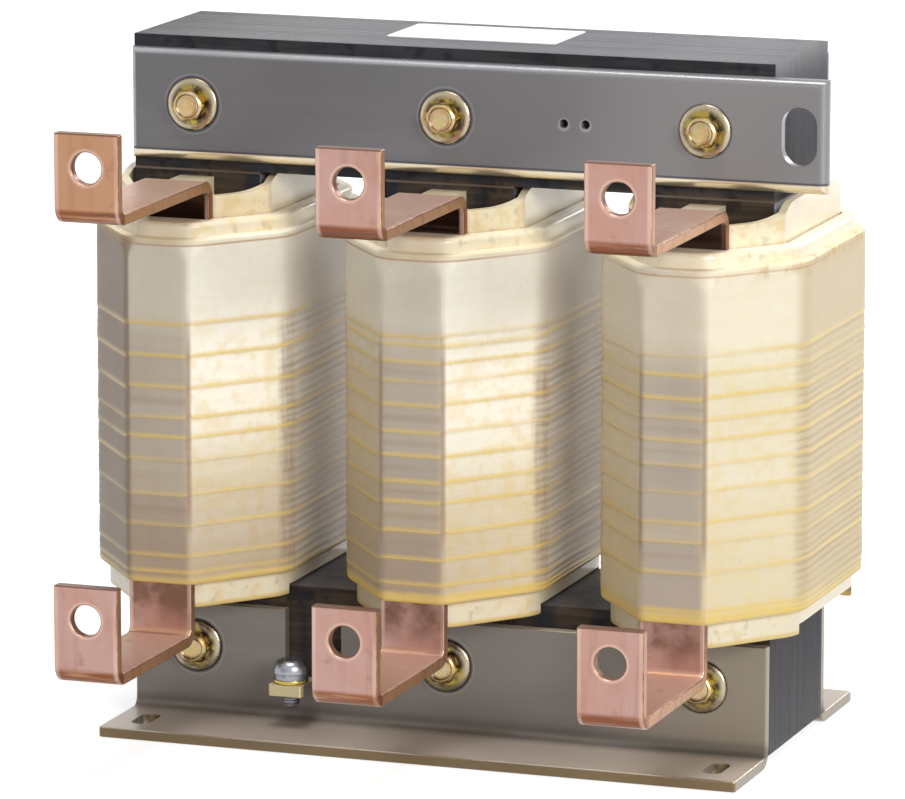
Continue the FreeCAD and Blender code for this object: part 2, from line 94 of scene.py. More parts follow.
class Field:
    """A number, vector or colour in a node tree. Numbers add, subtract and multiply like plain ones."""

    def __init__(self, graph: "NodeGraph", socket: bpy.types.NodeSocket) -> None:
        """Keeps a node's output and the tree that it is in."""
        self.graph = graph
        self.socket = socket

    def __add__(self, other: "Value") -> "Field":
        """This number plus another."""
        return self.graph.math("ADD", self, other)

    def __sub__(self, other: "Value") -> "Field":
        """This number less another."""
        return self.graph.math("SUBTRACT", self, other)

    def __rsub__(self, other: float) -> "Field":
        """A plain number less this one."""
        return self.graph.math("SUBTRACT", other, self)

    def __mul__(self, other: "Value") -> "Field":
        """This number times another."""
        return self.graph.math("MULTIPLY", self, other)

    def __abs__(self) -> "Field":
        """This number without its sign."""
        return self.graph.math("ABSOLUTE", self)

    def part(self, axis: Axis) -> "Field":
        """One component of this vector."""
        return self.graph.out("ShaderNodeSeparateXYZ", {0: self}, axis.value)


Value = float | Field
Tint = Colour | Field


class NodeGraph:
    """Short ways to add and join nodes in a shader, world or geometry tree."""

    def __init__(self, tree: bpy.types.NodeTree) -> None:
        """Keeps the tree that the nodes go into."""
        self.tree = tree

    def feed(self, socket: bpy.types.NodeSocket, value: object) -> None:
        """Links an input, or sets its value.

        Args:
            socket: the input to fill.
            value: a field, or a plain value.
        """
        if isinstance(value, Field):
            self.tree.links.new(value.socket, socket)
        else:
            socket.default_value = value

    def add(self, kind: str, inputs: dict | None = None, **settings: object) -> bpy.types.Node:
        """Adds a node.

        Args:
            kind: Blender's name for the node type.
            inputs: fields or plain values by input name or index.
            settings: the node's own properties.

        Returns:
            The new node.
        """
        node = self.tree.nodes.new(kind)
        for name, value in settings.items():
            setattr(node, name, value)
        for key, value in (inputs or {}).items():
            self.feed(node.inputs[key], value)
        return node

    def out(self, kind: str, inputs: dict | None = None, output: int | str = 0, **settings: object) -> Field:
        """Adds a node and takes one of its outputs."""
        return Field(self, self.add(kind, inputs, **settings).outputs[output])

    def math(self, operation: str, first: Value, second: Value = 0.0, clamp: bool = False) -> Field:
        """Result of a Math node, held between 0 and 1 where clamp is set."""
        return self.out("ShaderNodeMath", {0: first, 1: second}, operation=operation, use_clamp=clamp)

    def wrap(self, value: Value, half: float) -> Field:
        """Number wrapped round into the range from -half to half."""
        return self.out("ShaderNodeMath", {0: value, 1: half, 2: -half}, operation="WRAP")

    def between(self, value: Value, low: float, high: float) -> Field:
        """Smooth step from 0 at low to 1 at high, where either may be the larger."""
        return self.out("ShaderNodeMapRange", {"Value": value, "From Min": low, "From Max": high}, "Result",
                        interpolation_type="SMOOTHSTEP")

    def blend(self, factor: Value, first: Value, second: Value) -> Field:
        """Mix of two numbers, the first at 0 and the second at 1."""
        return self.out("ShaderNodeMix", {0: factor, 2: first, 3: second}, data_type="FLOAT")

    def vector(self, **parts: Value) -> Field:
        """Vector with the given X, Y and Z."""
        return self.out("ShaderNodeCombineXYZ", parts)

    def reach(self, first: Value, second: Value) -> Field:
        """Length of a flat vector."""
        return self.out("ShaderNodeVectorMath", {0: self.vector(X=first, Y=second)}, "Value", operation="LENGTH")

    def backdrop(self) -> Field:
        """1 for the rays that see the white background, 0 for those that light the part.

        Returns:
            The share.
        """
        rays = self.add("ShaderNodeLightPath").outputs
        seen = [Field(self, rays[f"Is {kind} Ray"]) for kind in ("Camera", "Glossy", "Transmission")]
        return self.math("MAXIMUM", seen[0], self.math("MAXIMUM", seen[1], seen[2]))


class ShaderGraph(NodeGraph):
    """Nodes of one material."""

    def __init__(self, name: str) -> None:
        """Starts an empty material.

        Args:
            name: the material's name.
        """
        self.material = bpy.data.materials.new(name)
        self.material.use_nodes = True
        super().__init__(self.material.node_tree)
        self.tree.nodes.clear()

    def place(self) -> Field:
        """Object coordinates, in metres."""
        return self.out("ShaderNodeTexCoord", output="Object")

    def coordinate(self, axis: Axis) -> Field:
        """One object coordinate, in metres."""
        return self.place().part(axis)

    def normal(self) -> Field:
        """The surface's normal."""
        return self.out("ShaderNodeNewGeometry", output="Normal")

    def facing(self, axis: Axis) -> Field:
        """One component of the surface's normal, from -1 to 1."""
        return self.normal().part(axis)

    def attribute(self, name: str) -> Field:
        """A number stored on the mesh."""
        return self.out("ShaderNodeAttribute", output="Fac", attribute_name=name)

    def along(self, axis: Axis, low: float, high: float) -> Field:
        """Smooth step along an object coordinate, 0 at low and 1 at high."""
        return self.between(self.coordinate(axis), low, high)

    def leaning(self, axis: Axis, low: float, high: float) -> Field:
        """Smooth step of the normal's component along an axis, 0 at low and 1 at high."""
        return self.between(self.facing(axis), low, high)

    def square(self, axis: Axis, low: float = 0.5, high: float = 0.9) -> Field:
        """Smooth step of the same component without its sign: 1 on faces square to the axis."""
        return self.between(abs(self.facing(axis)), low, high)

    def rounding(self) -> Field:
        """0 on faces square to the axes, rising to 1 on rounded edges and bends."""
        parts = [abs(self.facing(axis)) for axis in Axis]
        return self.between(self.math("MAXIMUM", self.math("MAXIMUM", parts[0], parts[1]), parts[2]), 0.995, 0.86)

    def fold(self, axis: Axis) -> Field:
        """Signed distance along one axis from the nearest clamp bolt, in metres.

        Args:
            axis: X, across the three columns of bolts, or Z, across the two rows.

        Returns:
            The distance.
        """
        low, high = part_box("front_washers")
        first = low[axis.value] + WASHER_RADIUS
        gaps = 2 if axis is Axis.X else 1
        return self.wrap(self.coordinate(axis) - first, (high[axis.value] - WASHER_RADIUS - first) / gaps / 2)

    def to_bolt(self) -> Field:
        """Distance from the nearest clamp bolt's axis, in metres."""
        return self.reach(self.fold(Axis.X), self.fold(Axis.Z))

    def inward(self) -> Field:
        """0 on faces that look away from the nearest leg, rising to 1 on those that look towards it.

        Returns:
            The share.
        """
        low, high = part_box("core_e_stack")
        away = self.vector(X=self.fold(Axis.X), Y=self.coordinate(Axis.Y) - (low.y + high.y) / 2)
        away = self.out("ShaderNodeVectorMath", {0: away}, operation="NORMALIZE")
        along = self.out("ShaderNodeVectorMath", {0: away, 1: self.normal()}, "Value", operation="DOT_PRODUCT")
        return self.between(along, -0.15, -0.5)

    def noise(self, size: float, streak: Streak = Streak.EVEN, detail: float = 3.0, shift: float = 0.0) -> Field:
        """Noise around 0.5.

        Args:
            size: how large its features are, in metres.
            streak: how it is stretched.
            detail: how many finer layers it has.
            shift: moves it, so that two patterns differ.

        Returns:
            The noise.
        """
        scale = tuple(share / size for share in streak.value)
        mapped = self.out("ShaderNodeMapping", {"Vector": self.place(), "Scale": scale, "Location": (shift,) * 3})
        return self.out("ShaderNodeTexNoise", {"Vector": mapped, "Scale": 1.0, "Detail": detail}, "Fac")

    def patches(self, low: float, high: float, size: float, streak: Streak = Streak.EVEN, detail: float = 3.0,
                shift: float = 0.0) -> Field:
        """Patches of that noise, 0 where it is under low and 1 where it is over high."""
        return self.between(self.noise(size, streak, detail, shift), low, high)

    def mix(self, factor: Value, first: Tint, second: Tint) -> Field:
        """Mixes two colours.

        Args:
            factor: 0 for the first, 1 for the second.
            first: the colour at 0.
            second: the colour at 1.

        Returns:
            The mixed colour.
        """
        first, second = [tint if isinstance(tint, Field) else (*tint, 1.0) for tint in (first, second)]
        return self.out("ShaderNodeMix", {0: factor, 6: first, 7: second}, 2, data_type="RGBA")

    def bump(self, height: Value, depth: float, **below: Field) -> Field:
        """Normal bumped by a height from 0 to 1 that is depth metres tall, over the Normal below it, if any."""
        return self.out("ShaderNodeBump", {"Height": height, "Strength": 1.0, "Distance": depth, **below})

    def surface(self, inputs: dict[str, object]) -> bpy.types.Material:
        """Ends the material in a Principled shader.

        Args:
            inputs: the shader's values by socket name.

        Returns:
            The material.
        """
        self.add("ShaderNodeOutputMaterial", {"Surface": self.out("ShaderNodeBsdfPrincipled", inputs)})
        return self.material


@dataclass(frozen=True)
class CopperFinish:
    """Bare rolled copper bar: pink faces, orange sheared sides, tarnish at the bends, tarnish with painted shade near
    the coil, painted shade in the holes and under the upper arms, and painted highlights along the rims, round the
    holes and on the arms' tops.
    """

    name: str = "copper_bar"
    face: Colour = (0.52, 0.315, 0.275)
    warm_face: Colour = (0.50, 0.275, 0.215)
    edge: Colour = (0.48, 0.245, 0.115)
    # painted highlight colour for the rims, the hole rings and the arms' tops
    painted_light: Colour = (0.80, 0.56, 0.46)
    heat: Colour = (0.22, 0.055, 0.016)
    tarnish: Colour = (0.17, 0.085, 0.055)
    # near-black painted shade on the legs under the upper arms
    under_arm_shade: Colour = (0.022, 0.009, 0.006)
    rim: Colour = (0.15, 0.065, 0.04)
    roughness: float = 0.32
    metallic: float = 0.6
    upper_row: float = 200 * MM
    left_bar: float = -90 * MM
    root: tuple[float, float] = (49 * MM, 66 * MM)
    root_front: tuple[float, float] = (-75 * MM, -50 * MM)
    arm_middle: float = -70 * MM
    under_arm: float = 249 * MM
    leg_front: float = -29 * MM
    lug_front: float = -124 * MM
    half_width: float = 15 * MM
    hole_radius: float = 7 * MM
    upper_hole: float = 15 * MM
    lower_hole: float = 29 * MM
    upper_band: float = 37 * MM
    lower_band: float = 3 * MM

    def by_row(self, graph: ShaderGraph, lower: float, upper: float) -> Field:
        """One number on the lower terminals and another on the upper ones."""
        seam = (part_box("left_upper_terminal")[0].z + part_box("left_lower_terminal")[1].z) / 2
        return graph.blend(graph.math("GREATER_THAN", graph.coordinate(Axis.Z), seam), lower, upper)

    def across(self, graph: ShaderGraph) -> Field:
        """Signed distance in X from the middle of the nearest bar, in metres.

        Args:
            graph: the material's nodes.

        Returns:
            The distance.
        """
        upper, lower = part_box("left_upper_terminal"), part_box("left_lower_terminal")
        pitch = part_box("middle_upper_terminal")[0].x - upper[0].x
        middle = self.by_row(graph, (lower[0].x + lower[1].x) / 2, (upper[0].x + upper[1].x) / 2)
        return graph.wrap(graph.coordinate(Axis.X) - middle, pitch / 2)

    def over_hole(self, graph: ShaderGraph) -> Field:
        """Height above the hole in the lug of the same row, in metres."""
        low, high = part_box("left_lower_terminal")[0].z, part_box("left_upper_terminal")[1].z
        return graph.coordinate(Axis.Z) - self.by_row(graph, low + self.lower_hole, high - self.upper_hole)

    def handled(self, graph: ShaderGraph, colour: Field) -> Field:
        """Colours the edges: a painted highlight line inside each rim, a dark top edge, and a painted highlight ring
        round a hole whose wall is darkened as painted shade.

        Args:
            graph: the material's nodes.
            colour: the colour so far.

        Returns:
            The new colour.
        """
        across, height = self.across(graph), self.over_hole(graph)
        half, hole = self.half_width, self.hole_radius
        # Painted highlight: a pale line just inside each rounded rim of the bar.
        line = graph.between(abs(across), half - 2.6 * MM, half - 1.4 * MM) * (1.0 - graph.square(Axis.X, 0.55))
        line = line * graph.patches(0.30, 0.60, 0.006, Streak.UPRIGHT, 3.0, 23.0)
        colour = graph.mix(line * 0.5, colour, self.painted_light)
        lug = graph.along(Axis.Y, self.lug_front, self.lug_front - 1 * MM)
        rim = lug * graph.between(height, half - 0.9 * MM, half - 0.5 * MM)
        colour = graph.mix(rim * 0.85, colour, self.rim)
        away = graph.reach(across, height)
        # Painted highlight ring round each lug hole, then painted shade on the hole's wall.
        ring = graph.between(away, hole + 2.0 * MM, hole + 0.9 * MM) * lug
        colour = graph.mix(ring * 0.45, colour, self.painted_light)
        wall = graph.between(away, hole + 0.5 * MM, hole + 0.1 * MM) * lug
        return graph.mix(wall * 0.75, colour, self.rim)

    def lug_band(self, graph: ShaderGraph) -> Field:
        """1 in the streaked band over the bend at the bottom of each lug.

        Args:
            graph: the material's nodes.

        Returns:
            The band.
        """
        places = (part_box("left_upper_terminal")[1].z - self.upper_band,
                  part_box("left_lower_terminal")[0].z + self.lower_band)
        above = [abs(graph.coordinate(Axis.Z) - place) for place in places]
        near = graph.between(graph.math("MINIMUM", *above), 4.5 * MM, 2.0 * MM)
        return near * graph.along(Axis.Y, self.lug_front, self.lug_front - 2 * MM)

    def material(self) -> bpy.types.Material:
        """Makes the material.

        Returns:
            The material.
        """
        graph = ShaderGraph(self.name)
        face = graph.mix(graph.patches(0.36, 0.66, 0.026, detail=4.0), self.face, self.warm_face)
        left = graph.along(Axis.X, self.left_bar, self.left_bar - 10 * MM)
        left = left * graph.along(Axis.Z, self.upper_row, self.upper_row + 10 * MM)
        face = graph.mix(left * 0.75, face, self.edge)
        side = graph.square(Axis.X, 0.55)
        colour = graph.mix(side * 0.85, face, self.edge)
        rolled = graph.patches(0.50, 0.72, 0.0045, Streak.UPRIGHT, 4.0, 17.0)
        colour = graph.mix(rolled * graph.blend(side, 0.18, 0.5), colour, self.tarnish)
        bend = graph.between(abs(graph.facing(Axis.Y)) * abs(graph.facing(Axis.Z)), 0.05, 0.35)
        mottle = graph.patches(0.38, 0.60, 0.0034, Streak.ALONG_X, 4.0)
        colour = graph.mix(bend * graph.blend(mottle, 0.15, 0.95), colour, self.edge)
        band = self.lug_band(graph)
        scorched = graph.patches(0.28, 0.50, 0.0030, Streak.ALONG_X, 4.0, 11.0)
        colour = graph.mix(band * (scorched * 0.9), colour, self.heat)
        # Painted light: the tops of the arms get lighter towards the coil.
        top = graph.leaning(Axis.Z, 0.7, 0.95) * graph.along(Axis.Y, self.lug_front, self.arm_middle)
        colour = graph.mix(top * 0.55, colour, self.painted_light)
        # Tarnish and painted shade on the lower legs near the coil, with spots, and soot streaks along the bends and
        # lug bands.
        root = graph.along(Axis.Z, *self.root) * graph.along(Axis.Z, self.upper_row, self.upper_row - 10 * MM)
        root = root * graph.along(Axis.Y, *self.root_front)
        dark = root * graph.blend(graph.patches(0.36, 0.60, 0.011, detail=5.0, shift=4.0), 0.42, 0.92)
        spots = graph.patches(0.60, 0.72, 0.008, detail=5.0, shift=8.0)
        dark = graph.math("ADD", dark, spots * 0.25, clamp=True)
        streak = graph.patches(0.50, 0.66, 0.0028, Streak.ALONG_X, 4.0, 2.0)
        soot = streak * graph.math("MAXIMUM", bend, band)
        dark = graph.math("ADD", dark, soot * 0.7, clamp=True)
        colour = graph.mix(dark, colour, self.tarnish)
        # Painted shade under the upper arms: the legs' faces there turn near black, matt and fully metallic, while
        # their sides take an orange-red tint.
        leg = graph.along(Axis.Y, self.leg_front - 5 * MM, self.leg_front)
        leg = leg * graph.along(Axis.Z, self.under_arm, self.under_arm - 3 * MM)
        colour = graph.mix(leg * side, colour, self.heat)
        leg = leg * (1.0 - side)
        colour = graph.mix(leg * graph.blend(mottle, 0.9, 1.0), colour, self.under_arm_shade)
        corner = graph.rounding() * (1.0 - bend)
        colour = graph.mix(corner * graph.blend(mottle, 0.55, 1.0), colour, self.rim)
        colour = self.handled(graph, colour)
        rough = graph.blend(graph.noise(0.004), self.roughness - 0.05, self.roughness + 0.12)
        rough = graph.blend(leg, rough + dark * 0.15, 0.85)
        waves = graph.bump(graph.noise(0.014), 0.00016)
        return graph.surface({"Base Color": colour, "Metallic": graph.blend(leg, self.metallic, 1.0),
                              "Roughness": rough,
                              "Normal": graph.bump(graph.noise(0.0006, Streak.UPRIGHT, 2.0), 0.00002, Normal=waves)})


@dataclass(frozen=True)
class PlateFinish:
    """Lacquered steel plate, worn brighter on its rounded edges, with a painted contact shadow and a painted highlight
    ring round each washer.
    """

    name: str
    body: Colour
    shade: Colour
    edge: Colour
    # colour of the painted contact shadows round the washers and under the clamp's lip
    contact_shadow: Colour = (0.035, 0.037, 0.055)
    roughness: float = 0.34
    edge_roughness: float = 0.22
    metallic: float = 0.15
    wear: float = 0.8

    def weathered(self, graph: ShaderGraph) -> dict[str, Field]:
        """Colour and gloss that every plate has.

        Args:
            graph: the material's nodes.

        Returns:
            The shader's colour, metal, roughness and normal by socket name.
        """
        cloud = graph.patches(0.3, 0.7, 0.09, detail=2.0)
        colour = graph.mix(cloud, self.body, self.shade)
        smear = graph.patches(0.45, 0.8, 0.018, Streak.ALONG_X, 4.0, 3.0)
        colour = graph.mix(smear * 0.12, colour, self.edge)
        rub = graph.patches(0.25, 0.5, 0.006, Streak.ALONG_X, 4.0)
        worn = graph.rounding() * graph.blend(rub, self.wear * 0.6, self.wear)
        colour = graph.mix(worn, colour, self.edge)
        rough = graph.blend(worn, graph.blend(cloud, self.roughness, self.roughness + 0.07), self.edge_roughness)
        # Painted highlight ring round each washer, and inside it a painted contact shadow.
        away = graph.to_bolt()
        highlight_ring = graph.between(away, WASHER_RADIUS + 2.0 * MM, WASHER_RADIUS + 1.5 * MM)
        colour = graph.mix(highlight_ring * 0.22, colour, self.edge)
        ring = graph.between(away, WASHER_RADIUS + 1.2 * MM, WASHER_RADIUS + 0.5 * MM)
        colour = graph.mix(ring * 0.85, colour, self.contact_shadow)
        normal = graph.bump(graph.noise(0.0014, detail=2.0), 0.000018, Normal=graph.bump(graph.noise(0.05), 0.0004))
        return {"Base Color": colour, "Roughness": rough, "Normal": normal,
                "Metallic": graph.blend(worn, self.metallic, 0.9)}

    def finished(self, graph: ShaderGraph, parts: dict[str, Field]) -> bpy.types.Material:
        """Ends the material under a thin coat of lacquer."""
        return graph.surface({**parts, "Coat Weight": 0.25, "Coat Roughness": 0.2})


@dataclass(frozen=True)
class ClampFinish(PlateFinish):
    """Upper clamp's lacquer, lighter towards the right as painted light, with a cream painted reflection of the coils
    along its bent lower lip.
    """

    # painted light: the lighter tone towards the clamp's right end
    painted_light: Colour = (0.235, 0.230, 0.238)
    # cream painted reflection of the coils on the bent lower lip
    lip_reflection: Colour = (0.80, 0.72, 0.52)
    lip_shade: Colour = (0.30, 0.20, 0.12)
    lip_height: float = 4.2 * MM
    painted_light_run: tuple[float, float] = (-40 * MM, 155 * MM)
    pilots: tuple[float, float] = (51.5 * MM, 61.5 * MM)
    pilot_radius: float = 2 * MM

    def material(self) -> bpy.types.Material:
        """Makes the material.

        Returns:
            The material.
        """
        graph = ShaderGraph(self.name)
        parts = self.weathered(graph)
        # Painted light: the clamp grows lighter towards its right end.
        colour = graph.mix(graph.along(Axis.X, *self.painted_light_run) * 0.9, parts["Base Color"], self.painted_light)
        low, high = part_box("front_upper_clamp")
        height = graph.coordinate(Axis.Z) - low.z
        rise = height - (high.z - low.z) / 2
        # Painted highlight ring round each small pilot hole, on the front clamp only.
        for pilot in self.pilots:
            away = graph.reach(graph.coordinate(Axis.X) - pilot, rise)
            highlight_ring = graph.between(away, self.pilot_radius + 1.2 * MM, self.pilot_radius + 0.5 * MM)
            highlight_ring = highlight_ring * graph.math("LESS_THAN", graph.coordinate(Axis.Y), high.y)
            colour = graph.mix(highlight_ring * 0.5, colour, self.edge)
        shadow = graph.between(height, self.lip_height + 1.1 * MM, self.lip_height + 0.5 * MM)
        colour = graph.mix(shadow * 0.8, colour, self.contact_shadow)
        # Painted reflection: a cream band, streaked with brown, along the bent lower lip, on metal that reflects the
        # coils as well.
        lip_reflection = graph.between(height, self.lip_height, self.lip_height - 0.5 * MM)
        rust = graph.patches(0.42, 0.62, 0.05, Streak.ALONG_X, 3.0, 5.0)
        fine = graph.noise(0.0016, Streak.ALONG_X, 4.0, 1.0)
        band = graph.mix(graph.blend(rust, fine * 0.3, 0.9), self.lip_reflection, self.lip_shade)
        parts["Base Color"] = graph.mix(lip_reflection, colour, band)
        parts["Roughness"] = graph.blend(lip_reflection, parts["Roughness"], 0.25)
        parts["Metallic"] = graph.blend(lip_reflection, parts["Metallic"], 0.7)
        return self.finished(graph, parts)


@dataclass(frozen=True)
class FootFinish(PlateFinish):
    """Foot angle's lacquer: painted shade with grime in the inner bend, olive along the front edge, and painted light
    on its tops and towards its right end.
    """

    dirt_and_shade: Colour = (0.035, 0.03, 0.028)
    olive_edge: Colour = (0.19, 0.125, 0.05)
    # lighter colour of the upward faces, painted light
    top: Colour = (0.58, 0.495, 0.43)
    warm: Colour = (0.30, 0.255, 0.19)
    tab: Colour = (0.72, 0.62, 0.34)
    painted_warm_light_run: tuple[float, float] = (55 * MM, 145 * MM)
    tab_front: float = -21 * MM
    tab_foot: float = 11 * MM
    bend_top: float = 8.5 * MM
    bend_reach: float = 12 * MM
    plate: float = 5 * MM

    def material(self) -> bpy.types.Material:
        """Makes the material.

        Returns:
            The material.
        """
        graph = ShaderGraph(self.name)
        parts = self.weathered(graph)
        plate = self.plate
        # Painted light: the plate warmer and lighter towards its right end, and lighter on its upward faces.
        colour = graph.mix(graph.along(Axis.X, *self.painted_warm_light_run) * 0.9, parts["Base Color"], self.warm)
        colour = graph.mix(graph.leaning(Axis.Z, 0.8, 0.98) * 0.9, colour, self.top)
        low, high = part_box("front_lower_clamp")
        middle = (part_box("rear_lower_clamp")[1].y + low.y) / 2
        inward = abs(graph.coordinate(Axis.Y) - middle) - (middle - high.y + plate)
        above = graph.along(Axis.Z, plate - 0.4 * MM, plate + 0.2 * MM)
        above = above * graph.along(Axis.Z, self.bend_top + 5 * MM, self.bend_top - 3 * MM)
        # Painted shade with grime in the inner bend, matt and not metallic.
        grime = graph.blend(graph.noise(0.01, Streak.ALONG_X, 4.0), 0.55, 1.0)
        corner = graph.between(inward, self.bend_reach, 1 * MM) * above * grime
        colour = graph.mix(corner, colour, self.dirt_and_shade)
        parts["Metallic"] = graph.blend(corner, parts["Metallic"], 0.0)
        parts["Roughness"] = graph.blend(corner, parts["Roughness"], 0.7)
        # Olive along the front edge of the foot plate.
        edge = graph.along(Axis.Z, plate - 0.4 * MM, plate - 0.9 * MM) * graph.square(Axis.Y)
        colour = graph.mix(edge, colour, self.olive_edge)
        tab = graph.along(Axis.Z, self.tab_foot, self.tab_foot + 1 * MM)
        tab = tab * graph.along(Axis.Y, self.tab_front, self.tab_front - 2 * MM)
        parts["Base Color"] = graph.mix(tab * 0.9, colour, self.tab)
        return self.finished(graph, parts)


@dataclass(frozen=True)
class SheetFinish:
    """Varnished core sheet, each sheet a little lighter or darker than the next, with its broad front and back faces
    darkened as painted shade.
    """

    name: str = "core_sheet"
    light: Colour = (0.165, 0.160, 0.178)
    dark: Colour = (0.120, 0.118, 0.135)
    worn: Colour = (0.29, 0.275, 0.29)
    rust: Colour = (0.16, 0.10, 0.07)
    # painted shade: the dark colour of the broad front and back faces
    face: Colour = (0.034, 0.036, 0.044)
    soaked_face: Colour = (0.085, 0.062, 0.042)
    soot: Colour = (0.010, 0.010, 0.012)
    cut_end: Colour = (0.060, 0.057, 0.068)
    worn_run: tuple[float, float] = (20 * MM, -110 * MM)

    def outside(self, graph: ShaderGraph) -> Field:
        """Colour of the broad front and back faces: dark as painted shade, soaked with varnish below the upper yoke.

        Args:
            graph: the material's nodes.

        Returns:
            The colour.
        """
        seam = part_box("core_top_yoke")[0].z
        runs = graph.patches(0.40, 0.62, 0.016, Streak.UPRIGHT, 4.0, 2.0)
        runs = runs * graph.blend(graph.along(Axis.Z, seam + 3 * MM, seam), 0.25, 1.0)
        colour = graph.mix(runs, self.face, self.soaked_face)
        level = graph.patches(0.42, 0.60, 0.0035, Streak.ALONG_X, 3.0, 14.0)
        colour = graph.mix(level * 0.45, colour, self.soot)
        return graph.mix(graph.patches(0.56, 0.66, 0.011, detail=4.0, shift=19.0) * 0.6, colour, self.soot)

    def material(self) -> bpy.types.Material:
        """Makes the material.

        Returns:
            The material.
        """
        graph = ShaderGraph(self.name)
        sheet = graph.patches(0.25, 0.75, 0.0007, Streak.SHEETS, 1.0)
        colour = graph.mix(sheet, self.dark, self.light)
        colour = graph.mix(graph.along(Axis.X, *self.worn_run) * 0.68, colour, self.worn)
        colour = graph.mix(graph.patches(0.6, 0.8, 0.03, detail=5.0) * 0.3, colour, self.rust)
        colour = graph.mix(graph.square(Axis.X) * graph.blend(sheet, 0.9, 0.6), colour, self.cut_end)
        # Broad front and back faces take the dark outside colour, painted shade with varnish runs and soot.
        colour = graph.mix(graph.square(Axis.Y), colour, self.outside(graph))
        upward = graph.square(Axis.Z)
        rough = graph.blend(upward, graph.blend(graph.noise(0.02), 0.55, 0.65), 0.4)
        return graph.surface({"Base Color": colour, "Roughness": rough, "Specular IOR Level": 0.10,
                              "Coat Weight": upward * 0.6, "Coat Roughness": 0.22})


@dataclass(frozen=True)
class PlatedFinish:
    """Plated steel of the fasteners, clear zinc or yellow chromate, stained and darkened with painted shade round the
    bolt heads and with painted contact shadow at the washers' rims.
    """

    name: str
    body: Colour
    warm: Colour
    cool: Colour
    # dirt and painted shade round the heads and at the washers' rims
    dirt_and_shade: Colour
    roughness: float = 0.24
    grey: Colour = (0.42, 0.38, 0.30)
    yellow: Colour = (0.52, 0.40, 0.02)
    hexagon: float = 6.9 * MM
    disc: float = 5.15 * MM

    def material(self) -> bpy.types.Material:
        """Makes the material.

        Returns:
            The material.
        """
        graph = ShaderGraph(self.name)
        away = graph.to_bolt()
        edge, rim = self.hexagon, WASHER_RADIUS
        colour = graph.mix(graph.patches(0.35, 0.65, 0.005), self.body, self.warm)
        colour = graph.mix(graph.patches(0.50, 0.68, 0.003, shift=3.0), colour, self.cool)
        washer = graph.between(away, edge, edge + 0.8 * MM) * graph.between(away, 2 * rim, 1.5 * rim)
        colour = graph.mix(washer * 0.7, colour, self.grey)
        # Stains and painted shade in a ring round each bolt head, with yellow pools.
        seat = graph.between(away, edge + 3.8 * MM, edge + 1.1 * MM)
        seat = seat * graph.between(away, edge - 0.4 * MM, edge + 0.2 * MM)
        pooled = graph.patches(0.42, 0.62, 0.006, shift=9.0)
        colour = graph.mix(seat * graph.blend(pooled, 0.95, 0.62), colour, self.dirt_and_shade)
        colour = graph.mix(seat * (pooled * 0.55), colour, self.yellow)
        # A dark line in the groove round the head's disc, and painted contact shadow just inside each washer's rim.
        groove = 1.0 - graph.between(abs(away - self.disc), 0.12 * MM, 0.42 * MM)
        outer = washer * graph.between(away, rim - 0.9 * MM, rim - 0.2 * MM)
        colour = graph.mix(graph.math("MAXIMUM", groove, outer) * 0.75, colour, self.dirt_and_shade)
        grime = graph.patches(0.58, 0.76, 0.0034, detail=4.0, shift=7.0)
        colour = graph.mix(grime * 0.35, colour, self.dirt_and_shade)
        rough = graph.blend(graph.noise(0.0015), self.roughness - 0.08, self.roughness + 0.14)
        normal = graph.bump(graph.noise(0.0011), 0.00003, Normal=graph.bump(graph.noise(0.006), 0.00018))
        return graph.surface({"Base Color": colour, "Metallic": 1.0, "Roughness": rough, "Normal": normal})


